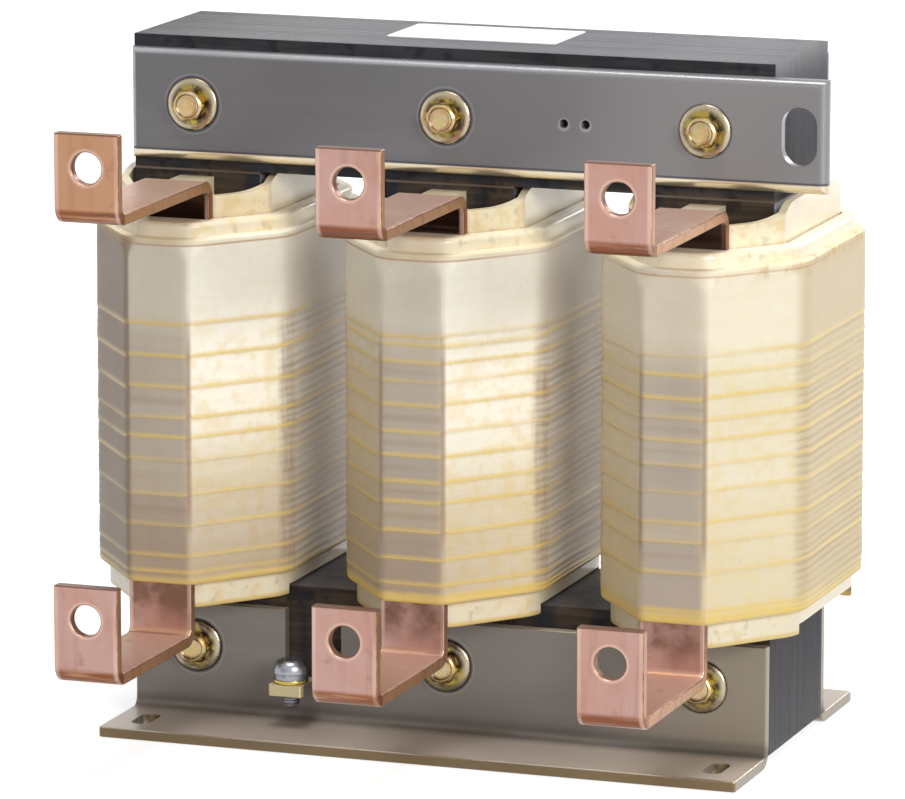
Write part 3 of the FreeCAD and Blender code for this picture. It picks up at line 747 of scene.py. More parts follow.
@dataclass(frozen=True)
class TapeFinish:
    """Cream glass tape, soaked in varnish that stays yellow along its laps, with painted light and shade on its slants,
    sides and front.
    """

    name: str = "coil_tape"
    light: Colour = (0.90, 0.86, 0.735)
    # painted light on the right slants of the left and middle coils
    painted_light_cream: Colour = (0.94, 0.91, 0.81)
    grey: Colour = (0.78, 0.725, 0.59)
    # grey strip of other tape on the flat front, kept darker as painted shade too
    strip: Colour = (0.44, 0.375, 0.32)
    honey: Colour = (0.70, 0.60, 0.39)
    tan: Colour = (0.54, 0.42, 0.23)
    varnish: Colour = (0.76, 0.55, 0.15)
    brown: Colour = (0.30, 0.20, 0.12)
    crease: Colour = (0.33, 0.22, 0.15)
    scorch: Colour = (0.50, 0.28, 0.10)
    # lighter grey painted as bounce light on the sides of the left and middle coils
    painted_bounce_grey: Colour = (0.70, 0.645, 0.585)
    # painted shade on the left coil's left slant
    left_coil_shade: Colour = (0.275, 0.195, 0.13)
    plain_top: float = 195 * MM
    rim_line: float = 2.8 * MM
    inner_edge: float = 60 * MM
    slant: tuple[float, float] = (0.2, 0.42)
    # heights where that painted light lies
    painted_light_heights: tuple[float, float] = (110 * MM, 160 * MM)
    # painted shade low on the left and middle coils
    low_shade_heights: tuple[float, float] = (150 * MM, 75 * MM)
    low_shade_run: tuple[float, float] = (75 * MM, -20 * MM)
    left_coil_shade_run: tuple[float, float] = (-130 * MM, -140 * MM)
    scorched_run: tuple[float, float] = (110 * MM, 150 * MM)
    pressed_heights: tuple[float, float] = (88 * MM, 112 * MM)

    def inner(self, graph: ShaderGraph) -> Field:
        """1 on the left and middle coil and on the inner half of the right one."""
        return graph.along(Axis.X, self.inner_edge + 5 * MM, self.inner_edge - 5 * MM)

    def taped(self, graph: ShaderGraph) -> Field:
        """0 in the plain top, 1 where turns lie."""
        return graph.along(Axis.Z, self.plain_top + 8 * MM, self.plain_top - 20 * MM)

    def laps(self, graph: ShaderGraph) -> Field:
        """How much varnish a place holds along the laps.

        Args:
            graph: the material's nodes.

        Returns:
            The share.
        """
        above = graph.between(graph.attribute("over"), 2.9 * MM, 0.2 * MM)
        under = graph.between(graph.attribute("under"), 1.3 * MM, 0.0)
        line = graph.math("ADD", above, under * 0.5, clamp=True)
        pooled = graph.patches(0.32, 0.62, 0.016, Streak.LEVEL, 5.0, 9.0)
        crumbly = graph.patches(0.25, 0.60, 0.0018, detail=2.0, shift=31.0)
        return line * graph.blend(pooled, 0.22, 0.85) * graph.blend(crumbly, 0.72, 1.0)

    def ground(self, graph: ShaderGraph) -> Field:
        """Colour of the tape before its front strip, laps and grooves: honeyed, with painted light on the right slants
        of the left and middle coils and painted shade on the left slants.

        Args:
            graph: the material's nodes.

        Returns:
            The colour.
        """
        taped = self.taped(graph)
        colour = graph.mix(graph.patches(0.3, 0.7, 0.035, Streak.LEVEL), self.light, self.grey)
        amber = taped * graph.blend(graph.patches(0.30, 0.65, 0.05, Streak.LEVEL, 4.0, 15.0), 0.15, 0.75)
        # Painted light on the right slants of the left and middle coils, which also keeps honey off them.
        lit = graph.leaning(Axis.X, *self.slant) * graph.along(Axis.Z, *self.painted_light_heights) * self.inner(graph)
        colour = graph.mix(lit * 0.9, colour, self.painted_light_cream)
        colour = graph.mix(amber * graph.blend(lit, 1.0, 0.1), colour, self.honey)
        patchy = graph.patches(0.44, 0.66, 0.006, detail=4.0, shift=44.0)
        colour = graph.mix(patchy * graph.blend(taped, 0.08, 0.30), colour, self.varnish)
        # Painted shade on the left slants.
        leftward = graph.leaning(Axis.X, -self.slant[0], -self.slant[1]) * taped
        colour = graph.mix(leftward * 0.30, colour, self.brown)
        outer = graph.along(Axis.X, self.inner_edge - 5 * MM, self.inner_edge + 5 * MM)
        return graph.mix(outer * 0.30, colour, self.honey)

    def front_strip(self, graph: ShaderGraph, colour: Field) -> Field:
        """Colours the flat front: grey turns, each its own shade and darker than the tape beside them, partly as
        painted shade, with a brown seam across some of them; painted shade also darkens the lower left and middle coils
        and the left coil's left slant.

        Args:
            graph: the material's nodes.
            colour: the colour so far.

        Returns:
            The new colour.
        """
        taped = self.taped(graph)
        front = graph.square(Axis.Y, 0.90, 0.985)
        each = graph.out("ShaderNodeTexWhiteNoise", {"W": graph.attribute("turn")}, "Value", noise_dimensions="1D")
        shade = graph.blend(graph.noise(0.012, Streak.UPRIGHT, 4.0, 8.0), 0.50, 0.80)
        shade = graph.math("ADD", shade, each * 0.3, clamp=True) * graph.blend(taped, 0.35, 1.0)
        # A grey strip of other tape on the flat front, darker than the tape beside it, partly as painted shade.
        colour = graph.mix(front * shade, colour, self.strip)
        # Painted shade: the left and middle coils darker towards the bottom.
        low = graph.along(Axis.Z, *self.low_shade_heights) * graph.along(Axis.X, *self.low_shade_run)
        colour = graph.mix(low * 0.62, colour, self.brown)
        # Painted shade on the left coil's left slant.
        far = graph.along(Axis.X, *self.left_coil_shade_run) * graph.leaning(Axis.X, -self.slant[0], -self.slant[1])
        colour = graph.mix(far, colour, self.left_coil_shade)
        seam = graph.between(abs(graph.attribute("lap") - 0.55), 0.22, 0.0)
        seam = seam * graph.patches(0.42, 0.62, 0.02, Streak.LEVEL, 3.0, 51.0) * (front * taped)
        return graph.mix(seam * 0.35, colour, self.crease)

    def flanks(self, graph: ShaderGraph, colour: Field) -> Field:
        """Colours the sides: tan on the right coil, a lighter grey painted as bounce light on the left and middle
        coils, a darker line in each groove between strands, and painted shade where the tape turns the corner.

        Args:
            graph: the material's nodes.
            colour: the colour so far.

        Returns:
            The new colour.
        """
        taped, inner = self.taped(graph), self.inner(graph)
        across = abs(graph.facing(Axis.X))
        # Painted light: the sides of the left and middle coils are a lighter grey, as if lit by their neighbours.
        side = graph.mix(inner, self.tan, self.painted_bounce_grey)
        colour = graph.mix(graph.between(across, 0.82, 0.99) * 0.7, colour, side)
        broad = graph.patches(0.40, 0.62, 0.012, Streak.LEVEL, 3.0, 21.0)
        groove = graph.attribute("groove") * graph.blend(broad, 0.08, 0.42)
        colour = graph.mix(groove * graph.blend(taped, 0.2, 1.0), colour, self.brown)
        # Painted shade, streaked with threads, where the tape turns from slant to side, stronger on the left and middle
        # coils.
        turn = graph.between(across, 0.80, 0.90) * graph.between(across, 0.999, 0.97)
        turn_shade = graph.patches(0.34, 0.62, 0.010, Streak.LEVEL, 4.0, 33.0)
        threads = graph.patches(0.40, 0.65, 0.0016, Streak.UPRIGHT, 3.0, 71.0)
        turn_shade = graph.blend(turn_shade, graph.blend(threads, 0.18, 0.34), graph.blend(threads, 0.42, 0.62))
        turn_shade = turn_shade * graph.blend(inner, 0.25, 1.0)
        return graph.mix(turn_shade * turn * taped, colour, self.brown)

    def bound(self, graph: ShaderGraph, colour: Field) -> Field:
        """Colours the rims: a thin varnish line under the top one, yellow varnish along the bottom one.

        Args:
            graph: the material's nodes.
            colour: the colour so far.

        Returns:
            The new colour.
        """
        low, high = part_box("left_coil_outer_layer")
        height = graph.coordinate(Axis.Z)
        mottle = graph.patches(0.42, 0.66, 0.012, Streak.LEVEL, 4.0, 5.0)
        colour = graph.mix(graph.attribute("rim") * graph.blend(mottle, 0.05, 0.40), colour, self.varnish)
        outer = graph.along(Axis.X, *self.scorched_run) * graph.between(height, high.z - 9 * MM, high.z - 2 * MM)
        scorch = graph.patches(0.46, 0.64, 0.007, detail=4.0, shift=61.0)
        colour = graph.mix(outer * graph.blend(scorch, 0.1, 0.55), colour, self.scorch)
        line = graph.between(abs(height - (high.z - self.rim_line)), 0.75 * MM, 0.15 * MM)
        line = line * graph.patches(0.25, 0.55, 0.02, Streak.LEVEL, 4.0, 81.0)
        colour = graph.mix(line * 0.75, colour, self.scorch)
        pool = graph.patches(0.35, 0.60, 0.006, Streak.LEVEL, 4.0, 91.0)
        bottom = graph.between(height, low.z + 4.5 * MM, low.z + 1.0 * MM)
        return graph.mix(bottom * graph.blend(pool, 0.35, 0.95), colour, self.varnish)

    def material(self) -> bpy.types.Material:
        """Makes the material.

        Returns:
            The material.
        """
        graph = ShaderGraph(self.name)
        colour = self.front_strip(graph, self.ground(graph))
        colour = self.flanks(graph, colour)
        line = self.laps(graph)
        colour = self.bound(graph, graph.mix(line, colour, self.varnish))
        pressed = self.taped(graph) * graph.along(Axis.Z, *self.pressed_heights)
        fold = graph.between(graph.attribute("crease"), 0.35, 0.95) * graph.blend(pressed, 0.18, 0.85)
        colour = graph.mix(fold, colour, self.crease)
        speck = graph.patches(0.74, 0.80, 0.0035, detail=3.0, shift=12.0)
        colour = graph.mix(speck * 0.5, colour, self.brown)
        threads = graph.noise(0.0007, Streak.LEVEL, 2.0) + graph.noise(0.0007, Streak.UPRIGHT, 2.0)
        waves = graph.bump(graph.noise(0.004, Streak.LEVEL, 3.0, 6.0), 0.0002)
        rough = graph.blend(line, graph.blend(graph.noise(0.02), 0.45, 0.6), 0.32)
        return graph.surface({"Base Color": colour, "Roughness": rough, "Coat Weight": 0.15, "Coat Roughness": 0.3,
                              "Normal": graph.bump(threads, 0.00005, Normal=waves)})


@dataclass(frozen=True)
class ResinFinish:
    """Varnished pressboard and glass laminate of formers, inner layers and spacers, darkened as painted shade on faces
    that look towards the nearest leg.
    """

    name: str
    light: Colour
    tan: Colour
    amber: Colour
    tan_share: float = 0.4
    coat: float = 0.5
    # scorch on rounded edges, and painted shade on faces towards the legs
    gap: Colour = (0.20, 0.12, 0.06)

    def material(self) -> bpy.types.Material:
        """Makes the material.

        Returns:
            The material.
        """
        graph = ShaderGraph(self.name)
        cloud = graph.patches(0.35, 0.70, 0.016, Streak.LEVEL, 4.0)
        colour = graph.mix(cloud * self.tan_share, self.light, self.tan)
        round_edge = graph.rounding()
        pooled = graph.patches(0.48, 0.68, 0.0065, detail=4.0, shift=6.0)
        colour = graph.mix(pooled * graph.blend(round_edge, 0.05, 0.35), colour, self.amber)
        scorch = graph.patches(0.58, 0.70, 0.0055, detail=4.0, shift=26.0)
        colour = graph.mix(scorch * (round_edge * 0.25), colour, self.gap)
        # Painted shade on faces that look towards the nearest leg.
        colour = graph.mix(graph.inward() * 0.7, colour, self.gap)
        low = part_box("left_coil_inner_layer")[0].z
        colour = graph.mix(graph.along(Axis.Z, low + 3.2 * MM, low + 1.2 * MM) * 0.8, colour, self.amber)
        waves = graph.bump(graph.noise(0.006), 0.00025)
        return graph.surface({"Base Color": colour, "Roughness": graph.blend(graph.noise(0.01), 0.30, 0.48),
                              "Normal": graph.bump(graph.noise(0.0008, Streak.LEVEL, 2.0), 0.00004, Normal=waves),
                              "Coat Weight": self.coat, "Coat Roughness": 0.14})


@dataclass(frozen=True)
class LabelFinish:
    """White sticker with a blank ruled form in grey."""

    name: str = "label_face"
    paper: Colour = (0.86, 0.86, 0.88)
    aged: float = 0.95
    rule: Colour = (0.52, 0.52, 0.56)
    row_height: float = 5.5 * MM
    margin: float = 4.0 * MM
    line: float = 0.45 * MM
    column: float = 12 * MM

    def form(self, graph: ShaderGraph) -> Field:
        """1 on the lines of the form: its frame, its rows and one column.

        Args:
            graph: the material's nodes.

        Returns:
            The lines.
        """
        low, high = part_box("rating_label")
        centre, half = (low + high) / 2, (high - low) / 2 - Vector.Fill(3, self.margin)
        away = [abs(graph.coordinate(axis) - centre[axis.value]) for axis in (Axis.X, Axis.Y)]
        within = [graph.math("LESS_THAN", away[index], half[index]) for index in (0, 1)]
        edges = [graph.math("GREATER_THAN", away[index], half[index] - self.line) for index in (0, 1)]
        row = graph.math("MODULO", graph.coordinate(Axis.Y) - (low.y + self.margin), self.row_height)
        ruled = graph.math("LESS_THAN", row, self.line)
        middle = graph.coordinate(Axis.X) - (centre.x - self.column)
        column = graph.math("LESS_THAN", abs(middle), self.line / 2)
        marks = graph.math("MAXIMUM", graph.math("MAXIMUM", ruled, column), graph.math("MAXIMUM", *edges))
        return marks * (within[0] * within[1])

    def material(self) -> bpy.types.Material:
        """Makes the material.

        Returns:
            The material.
        """
        graph = ShaderGraph(self.name)
        aged = tuple(part * self.aged for part in self.paper)
        colour = graph.mix(graph.patches(0.3, 0.7, 0.02), self.paper, aged)
        return graph.surface({"Base Color": graph.mix(self.form(graph), colour, self.rule), "Roughness": 0.42,
                              "Coat Weight": 0.2, "Coat Roughness": 0.25,
                              "Normal": graph.bump(graph.noise(0.01), 0.00008)})


@dataclass(frozen=True)
class FloorFinish:
    """Pale floor that stays white round the part and keeps its soft shadow."""

    name: str = "studio_floor"
    tint: Colour = (0.42, 0.42, 0.42)
    near_lift: float = 0.80
    far_lift: float = 1.0
    near: float = 0.35
    far: float = 0.9

    def material(self) -> bpy.types.Material:
        """Makes the material.

        Returns:
            The material.
        """
        graph = ShaderGraph(self.name)
        away = graph.out("ShaderNodeVectorMath", {0: graph.place()}, "Value", operation="LENGTH")
        lift = graph.blend(graph.between(away, self.near, self.far), self.near_lift, self.far_lift)
        matt = graph.out("ShaderNodeBsdfDiffuse", {"Color": (*self.tint, 1.0)})
        glow = graph.out("ShaderNodeEmission", {"Color": (*WHITE, 1.0), "Strength": graph.backdrop() * lift})
        both = graph.out("ShaderNodeAddShader", {0: matt, 1: glow})
        graph.add("ShaderNodeOutputMaterial", {"Surface": both})
        return graph.material


class GeometryGraph(NodeGraph):
    """One Geometry Nodes tree with named inputs, ending in Realize Instances and Set Material."""

    def __init__(self, name: str, inputs: dict[str, tuple[str, object]]) -> None:
        """Starts the tree.

        Args:
            name: the tree's name.
            inputs: each named input's socket type and default value.
        """
        super().__init__(bpy.data.node_groups.new(name, "GeometryNodeTree"))
        face = self.tree.interface
        face.new_socket("Geometry", in_out="INPUT", socket_type="NodeSocketGeometry")
        self.identifiers: dict[str, str] = {}
        for label, (kind, default) in {**inputs, "Material": ("Material", None)}.items():
            socket = face.new_socket(label, in_out="INPUT", socket_type="NodeSocket" + kind)
            if default is not None:
                socket.default_value = default
            self.identifiers[label] = socket.identifier
        face.new_socket("Geometry", in_out="OUTPUT", socket_type="NodeSocketGeometry")
        self.inputs = self.add("NodeGroupInput").outputs

    def given(self, label: str) -> Field:
        """One of the tree's inputs."""
        return Field(self, self.inputs[label])

    def finish(self, geometry: Field) -> None:
        """Ends the tree in Realize Instances, Set Material and the output.

        Args:
            geometry: the last geometry before them.
        """
        real = self.out("GeometryNodeRealizeInstances", {0: geometry})
        done = self.out("GeometryNodeSetMaterial", {"Geometry": real, "Material": self.given("Material")})
        self.add("NodeGroupOutput", {"Geometry": done})

    def run(self, piece: bpy.types.Object, values: dict[str, object]) -> bpy.types.Object:
        """Applies the tree to an object.

        Args:
            piece: the object whose mesh goes into the tree.
            values: a value for each named input.

        Returns:
            The same object, with the tree's result as its plain mesh.
        """
        modifier = piece.modifiers.new(self.tree.name, "NODES")
        modifier.node_group = self.tree
        for label, value in values.items():
            modifier[self.identifiers[label]] = value
        piece.data = evaluated(piece)
        piece.modifiers.clear()
        return piece


def lamination_tree() -> GeometryGraph:
    """Tree that lays one core sheet after the other along Y, each a hair out of line.

    Returns:
        The tree.
    """
    graph = GeometryGraph("lamination_stack", {
        "Sheets": ("Int", 100), "Start": ("Float", 0.0), "Pitch": ("Float", 0.0005), "Stagger": ("Float", 0.0001),
        "Seed": ("Int", 1)})
    line = graph.out("GeometryNodeMeshLine", {
        "Count": graph.given("Sheets"), "Start Location": graph.vector(Y=graph.given("Start")),
        "Offset": graph.vector(Y=graph.given("Pitch"))}, mode="OFFSET")
    sheets = graph.out("GeometryNodeInstanceOnPoints", {"Points": line, "Instance": graph.given("Geometry")})
    most = graph.vector(X=graph.given("Stagger"), Z=graph.given("Stagger"))
    least = graph.out("ShaderNodeVectorMath", {0: most, "Scale": -1.0}, operation="SCALE")
    shift = graph.out("FunctionNodeRandomValue", {"Min": least, "Max": most, "Seed": graph.given("Seed")},
                      data_type="FLOAT_VECTOR")
    graph.finish(graph.out("GeometryNodeTranslateInstances", {"Instances": sheets, "Translation": shift}))
    return graph


def pattern_tree() -> GeometryGraph:
    """Tree that sets one fastener on each crossing of an upright grid, each turned a little about Y.

    Returns:
        The tree.
    """
    graph = GeometryGraph("fastener_pattern", {
        "Columns": ("Int", 3), "Rows": ("Int", 2), "Width": ("Float", 0.24), "Height": ("Float", 0.25),
        "Centre": ("Vector", (0.0, 0.0, 0.0)), "Turn": ("Float", 0.2), "Seed": ("Int", 1)})
    given = graph.given
    grid = graph.out("GeometryNodeMeshGrid", {
        "Size X": given("Width"), "Size Y": given("Height"), "Vertices X": given("Columns"),
        "Vertices Y": given("Rows")})
    upright = graph.out("GeometryNodeTransform", {"Geometry": grid, "Translation": given("Centre"),
                                                  "Rotation": (math.pi / 2, 0.0, 0.0)})
    angle = graph.out("FunctionNodeRandomValue", {2: given("Turn") * -1.0, 3: given("Turn"), "Seed": given("Seed")},
                      1, data_type="FLOAT")
    graph.finish(graph.out("GeometryNodeInstanceOnPoints", {
        "Points": upright, "Instance": given("Geometry"), "Rotation": graph.vector(Y=angle)}))
    return graph


class TapeTree(GeometryGraph):
    """Tree that lays tape turns on a ring mesh: each lap steps out, wanders and puckers over ridged strands."""

    def __init__(self) -> None:
        """Builds the tree."""
        super().__init__("wound_tape", {"Step": ("Float", 0.0004), "Wander": ("Float", 0.001),
                                        "Tilt": ("Float", 0.001), "Pucker": ("Float", 0.0002),
                                        "Ridge": ("Float", 0.0002), "Seed": ("Float", 0.0)})
        self.outward = self.stored("outward", "FLOAT_VECTOR")
        groove = self.groove()
        push = self.out("ShaderNodeVectorMath", {0: self.outward, "Scale": self.depth(groove)}, operation="SCALE")
        total = self.out("ShaderNodeVectorMath", {0: push, 1: self.vector(Z=self.rise())}, operation="ADD")
        marked = self.out("GeometryNodeStoreNamedAttribute", {
            "Geometry": self.given("Geometry"), "Name": "groove", "Value": groove}, data_type="FLOAT", domain="POINT")
        self.finish(self.out("GeometryNodeSetPosition", {"Geometry": marked, "Offset": total}))

    def stored(self, name: str, kind: str = "FLOAT") -> Field:
        """An attribute of the ring mesh."""
        return self.out("GeometryNodeInputNamedAttribute", {"Name": name}, data_type=kind)

    def crumple(self, scale: float, detail: float) -> Field:
        """Noise on the ring's own place."""
        place = self.out("GeometryNodeInputPosition")
        return self.out("ShaderNodeTexNoise", {"Vector": place, "Scale": scale, "Detail": detail})

    def wander(self, count: Field) -> Field:
        """How far one turn strays in height, along the way that each place faces.

        Args:
            count: the number of the turn.

        Returns:
            The rise in metres.
        """
        spot = self.vector(X=self.outward.part(Axis.X), Y=self.outward.part(Axis.Y),
                           Z=count * 3.7 + self.given("Seed"))
        rough = self.out("ShaderNodeTexNoise", {"Vector": spot, "Scale": 1.0, "Detail": 3.0})
        return (rough - 0.5) * (self.given("Wander") * 4.0)

    def rise(self) -> Field:
        """Change of height, from one turn's lower edge to that of the next.

        Returns:
            The rise in metres.
        """
        turn = self.stored("turn")
        rise = self.blend(self.stored("lap"), self.wander(turn), self.wander(turn + 1.0))
        return (rise + self.outward.part(Axis.X) * self.given("Tilt")) * self.stored("laid")

    def groove(self) -> Field:
        """How deep a place lies in the groove between two strands on the coil's sides, from 0 to 1.

        Returns:
            The depth of the groove.
        """
        phase = self.stored("strand") + self.crumple(9.0, 2.0) * 1.5
        wave = self.math("SINE", phase * FULL_TURN)
        flank = self.between(abs(self.outward.part(Axis.X)), 0.80, 0.97) * self.stored("ridge")
        return self.math("POWER", (wave + 1.0) * 0.5, 2.5) * flank

    def depth(self, groove: Field) -> Field:
        """How far the tape lies out of the ring's face, never past it.

        Args:
            groove: how deep each place lies in a groove, from 0 to 1.

        Returns:
            The distance in metres, 0 or less.
        """
        step = (1.0 - self.stored("lap")) * (self.given("Step") * self.stored("laid"))
        depth = step - self.given("Step") + (self.crumple(60.0, 3.0) - 0.8) * self.given("Pucker")
        return self.math("MINIMUM", depth - groove * self.given("Ridge"), 0.0) * self.stored("skin")


def new_piece(name: str, mesh: bpy.types.Mesh) -> bpy.types.Object:
    """Puts a mesh, already in place, in the scene as an object.

    Args:
        name: the object's name.
        mesh: its mesh.

    Returns:
        The object.
    """
    piece = bpy.data.objects.new(name, mesh)
    bpy.context.scene.collection.objects.link(piece)
    return piece


def evaluated(piece: bpy.types.Object) -> bpy.types.Mesh:
    """An object's mesh with its modifiers applied.

    Args:
        piece: the object.

    Returns:
        A new plain mesh.
    """
    bpy.context.view_layer.update()
    graph = bpy.context.evaluated_depsgraph_get()
    return bpy.data.meshes.new_from_object(piece.evaluated_get(graph), preserve_all_data_layers=True, depsgraph=graph)


def smooth(mesh: bpy.types.Mesh, degrees: float = 35.0) -> None:
    """Shades a mesh smooth, but for edges sharper than some degrees."""
    mesh.polygons.foreach_set("use_smooth", [True] * len(mesh.polygons))
    mesh.set_sharp_from_angle(angle=math.radians(degrees))


def mend(mesh: bpy.types.Mesh, merge: float = 0.0) -> bpy.types.Mesh:
    """Turns a mesh's faces outwards.

    Args:
        mesh: the mesh to mend.
        merge: points nearer than this are merged first, in metres.

    Returns:
        The same mesh.
    """
    shape = bmesh.new()
    shape.from_mesh(mesh)
    if merge:
        bmesh.ops.remove_doubles(shape, verts=shape.verts, dist=merge)
    bmesh.ops.recalc_face_normals(shape, faces=shape.faces)
    shape.to_mesh(mesh)
    shape.free()
    return mesh


def circle(radius: float, steps: int) -> list[tuple[float, float]]:
    """Points of a flat circle round the origin."""
    return [(radius * math.cos(turn), radius * math.sin(turn)) for turn in angles(steps)]


def angles(steps: int) -> list[float]:
    """Angles of the points of a circle."""
    return [FULL_TURN * step / steps for step in range(steps)]


def ring_mesh(name: str, rings: list[list[Vector]], closed: bool) -> bpy.types.Mesh:
    """Skins a row of rings that have the same number of points.

    Args:
        name: the mesh's name.
        rings: the rings, in order.
        closed: whether the last ring joins the first one; otherwise both ends are capped.

    Returns:
        The mesh, its normals pointing outwards.
    """
    count = len(rings[0])
    faces = []
    for row in range(len(rings) if closed else len(rings) - 1):
        low, high = row * count, (row + 1) % len(rings) * count
        for column in range(count):
            after = (column + 1) % count
            faces.append((low + column, low + after, high + after, high + column))
    if not closed:
        faces += [tuple(reversed(range(count))), tuple(range((len(rings) - 1) * count, len(rings) * count))]
    mesh = bpy.data.meshes.new(name)
    mesh.from_pydata([point for ring in rings for point in ring], [], faces)
    return mend(mesh)


def cut_boxes(piece: bpy.types.Object, boxes: list[tuple[tuple[float, ...], tuple[float, ...]]]) -> None:
    """Cuts boxes out of a piece and leaves the result as its plain mesh.

    Args:
        piece: the piece to cut.
        boxes: the lowest and highest corner of each box.
    """
    shape = bmesh.new()
    for low, high in boxes:
        for vertex in bmesh.ops.create_cube(shape, size=1.0)["verts"]:
            vertex.co = Vector([(a + b) / 2 + c * (b - a) for a, b, c in zip(low, high, vertex.co)])
    mesh = bpy.data.meshes.new("cutter")
    shape.to_mesh(mesh)
    shape.free()
    cutter = new_piece("cutter", mesh)
    modifier = piece.modifiers.new("cut", "BOOLEAN")
    modifier.operation = "DIFFERENCE"
    modifier.solver = "EXACT"
    modifier.object = cutter
    piece.data = evaluated(piece)
    piece.modifiers.clear()
    bpy.data.objects.remove(cutter)


def dress(node: str, material: bpy.types.Material) -> None:
    """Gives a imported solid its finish.

    Args:
        node: the solid's name.
        material: the finish.
    """
    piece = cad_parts[node]
    if not piece.material_slots:
        piece.data.materials.append(material)
    for slot in piece.material_slots:
        slot.material = material
    LOG.info("dressed %s in %s", node, material.name)


def stand_in(piece: bpy.types.Object, slot: str, *nodes: str) -> None:
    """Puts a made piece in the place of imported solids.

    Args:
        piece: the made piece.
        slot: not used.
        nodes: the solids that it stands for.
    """
    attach(piece, ROOT)
    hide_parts(*nodes)
    LOG.info("made %s, %d faces, for %s", piece.name, len(piece.data.polygons), ", ".join(nodes))


@dataclass
class Core:
    """Laminated core: the stack of lower yoke and legs, the upper yoke and the plates in the air gaps."""

    sheet_pitch: float = 0.5 * MM
    sheet_share: float = 0.9
    stagger: float = 0.025 * MM
    leg_width: float = 60 * MM
    window_width: float = 60 * MM
    yoke_height: float = 60 * MM
    bore_radius: float = 5.6 * MM
    bore_steps: int = 10
    merge: float = 1e-6
    finish: SheetFinish = SheetFinish()
    sleeve: ResinFinish = ResinFinish("varnished_board", (0.72, 0.62, 0.42), (0.52, 0.40, 0.22), (0.45, 0.28, 0.08))
    gap: ResinFinish = ResinFinish("gap_board", (0.10, 0.070, 0.048), (0.07, 0.050, 0.036), (0.12, 0.07, 0.03),
                                   0.5, 0.2)

    def bores(self, middle: float, height: float) -> list[list[Vector]]:
        """Outlines of the three bolt holes of a yoke.

        Args:
            middle: X of the middle hole.
            height: the height of the holes' centres.

        Returns:
            Three closed loops of (x, z) points.
        """
        pitch, bore = self.leg_width + self.window_width, circle(self.bore_radius, self.bore_steps)
        return [[Vector((middle + column * pitch + x, height + z)) for x, z in bore] for column in (-1, 0, 1)]

    def sheet(self, name: str, loops: list[list[Vector]]) -> bpy.types.Mesh:
        """One core sheet, cut from its outline and holes.

        Args:
            name: the mesh's name.
            loops: the outline and the holes, as (x, z) points.

        Returns:
            The sheet's mesh, standing at Y = 0.
        """
        curve = bpy.data.curves.new(name, "CURVE")
        curve.dimensions = "2D"
        curve.fill_mode = "BOTH"
        curve.extrude = self.sheet_pitch * self.sheet_share / 2
        for loop in loops:
            spline = curve.splines.new("POLY")
            spline.points.add(len(loop) - 1)
            spline.use_cyclic_u = True
            for point, place in zip(spline.points, loop):
                point.co = (place.x, place.y, 0.0, 1.0)
        holder = new_piece(name, curve)
        mesh = evaluated(holder)
        bpy.data.objects.remove(holder)
        for vertex in mesh.vertices:
            x, height, depth = vertex.co
            vertex.co = (x, -depth, height)
        return mend(mesh, self.merge)

    def comb(self, low: Vector, high: Vector) -> list[Vector]:
        """Outline of a sheet with a yoke at the bottom and three legs.

        Args:
            low: the stack's lowest corner.
            high: its highest corner.

        Returns:
            A closed loop of (x, z) points.
        """
        yoke_top = low.z + self.yoke_height
        loop = [Vector((low.x, low.z)), Vector((high.x, low.z))]
        edge = high.x
        for leg in range(3):
            loop += [Vector((edge, high.z)), Vector((edge - self.leg_width, high.z))]
            if leg < 2:
                loop.append(Vector((edge - self.leg_width, yoke_top)))
                edge -= self.leg_width + self.window_width
                loop.append(Vector((edge, yoke_top)))
        return loop

    def stack(self, node: str, loops: list[list[Vector]], tree: GeometryGraph, seed: int,
              material: bpy.types.Material) -> None:
        """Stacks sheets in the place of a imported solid.

        Args:
            node: the solid's name.
            loops: the sheet's outline and holes.
            tree: the tree that lays the sheets.
            seed: which way the sheets stray.
            material: the sheets' finish.
        """
        low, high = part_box(node)
        count = round((high.y - low.y) / self.sheet_pitch)
        piece = new_piece(node + "_sheets", self.sheet(node + "_sheet", loops))
        tree.run(piece, {"Sheets": count, "Start": low.y + self.sheet_pitch / 2, "Pitch": self.sheet_pitch,
                         "Stagger": self.stagger, "Seed": seed, "Material": material})
        stand_in(piece, "core_lamination", node)

    def build(self) -> None:
        """Makes both stacks and dresses the sleeves and gap plates."""
        tree, material = lamination_tree(), self.finish.material()
        low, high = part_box("core_e_stack")
        middle = (low.x + high.x) / 2
        loops = [self.comb(low, high), *self.bores(middle, low.z + self.yoke_height / 2)]
        self.stack("core_e_stack", loops, tree, 3, material)
        low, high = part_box("core_top_yoke")
        outline = [Vector(corner) for corner in ((low.x, low.z), (high.x, low.z), (high.x, high.z), (low.x, high.z))]
        self.stack("core_top_yoke", [outline, *self.bores(middle, (low.z + high.z) / 2)], tree, 5, material)
        dress("bolt_sleeves", self.sleeve.material())
        dress("air_gap_plates", self.gap.material())


@dataclass
class Clamps:
    """Upper clamp bars and lower foot angles."""

    upper: ClampFinish = ClampFinish("upper_clamp_lacquer", (0.110, 0.110, 0.120), (0.130, 0.129, 0.138),
                                     (0.42, 0.41, 0.43))
    lower: FootFinish = FootFinish("foot_lacquer", (0.180, 0.160, 0.145), (0.212, 0.188, 0.168), (0.50, 0.44, 0.34))

    def build(self) -> None:
        """Dresses the four plates."""
        for row, finish in (("upper", self.upper), ("lower", self.lower)):
            material = finish.material()
            for end in ("front", "rear"):
                dress(f"{end}_{row}_clamp", material)


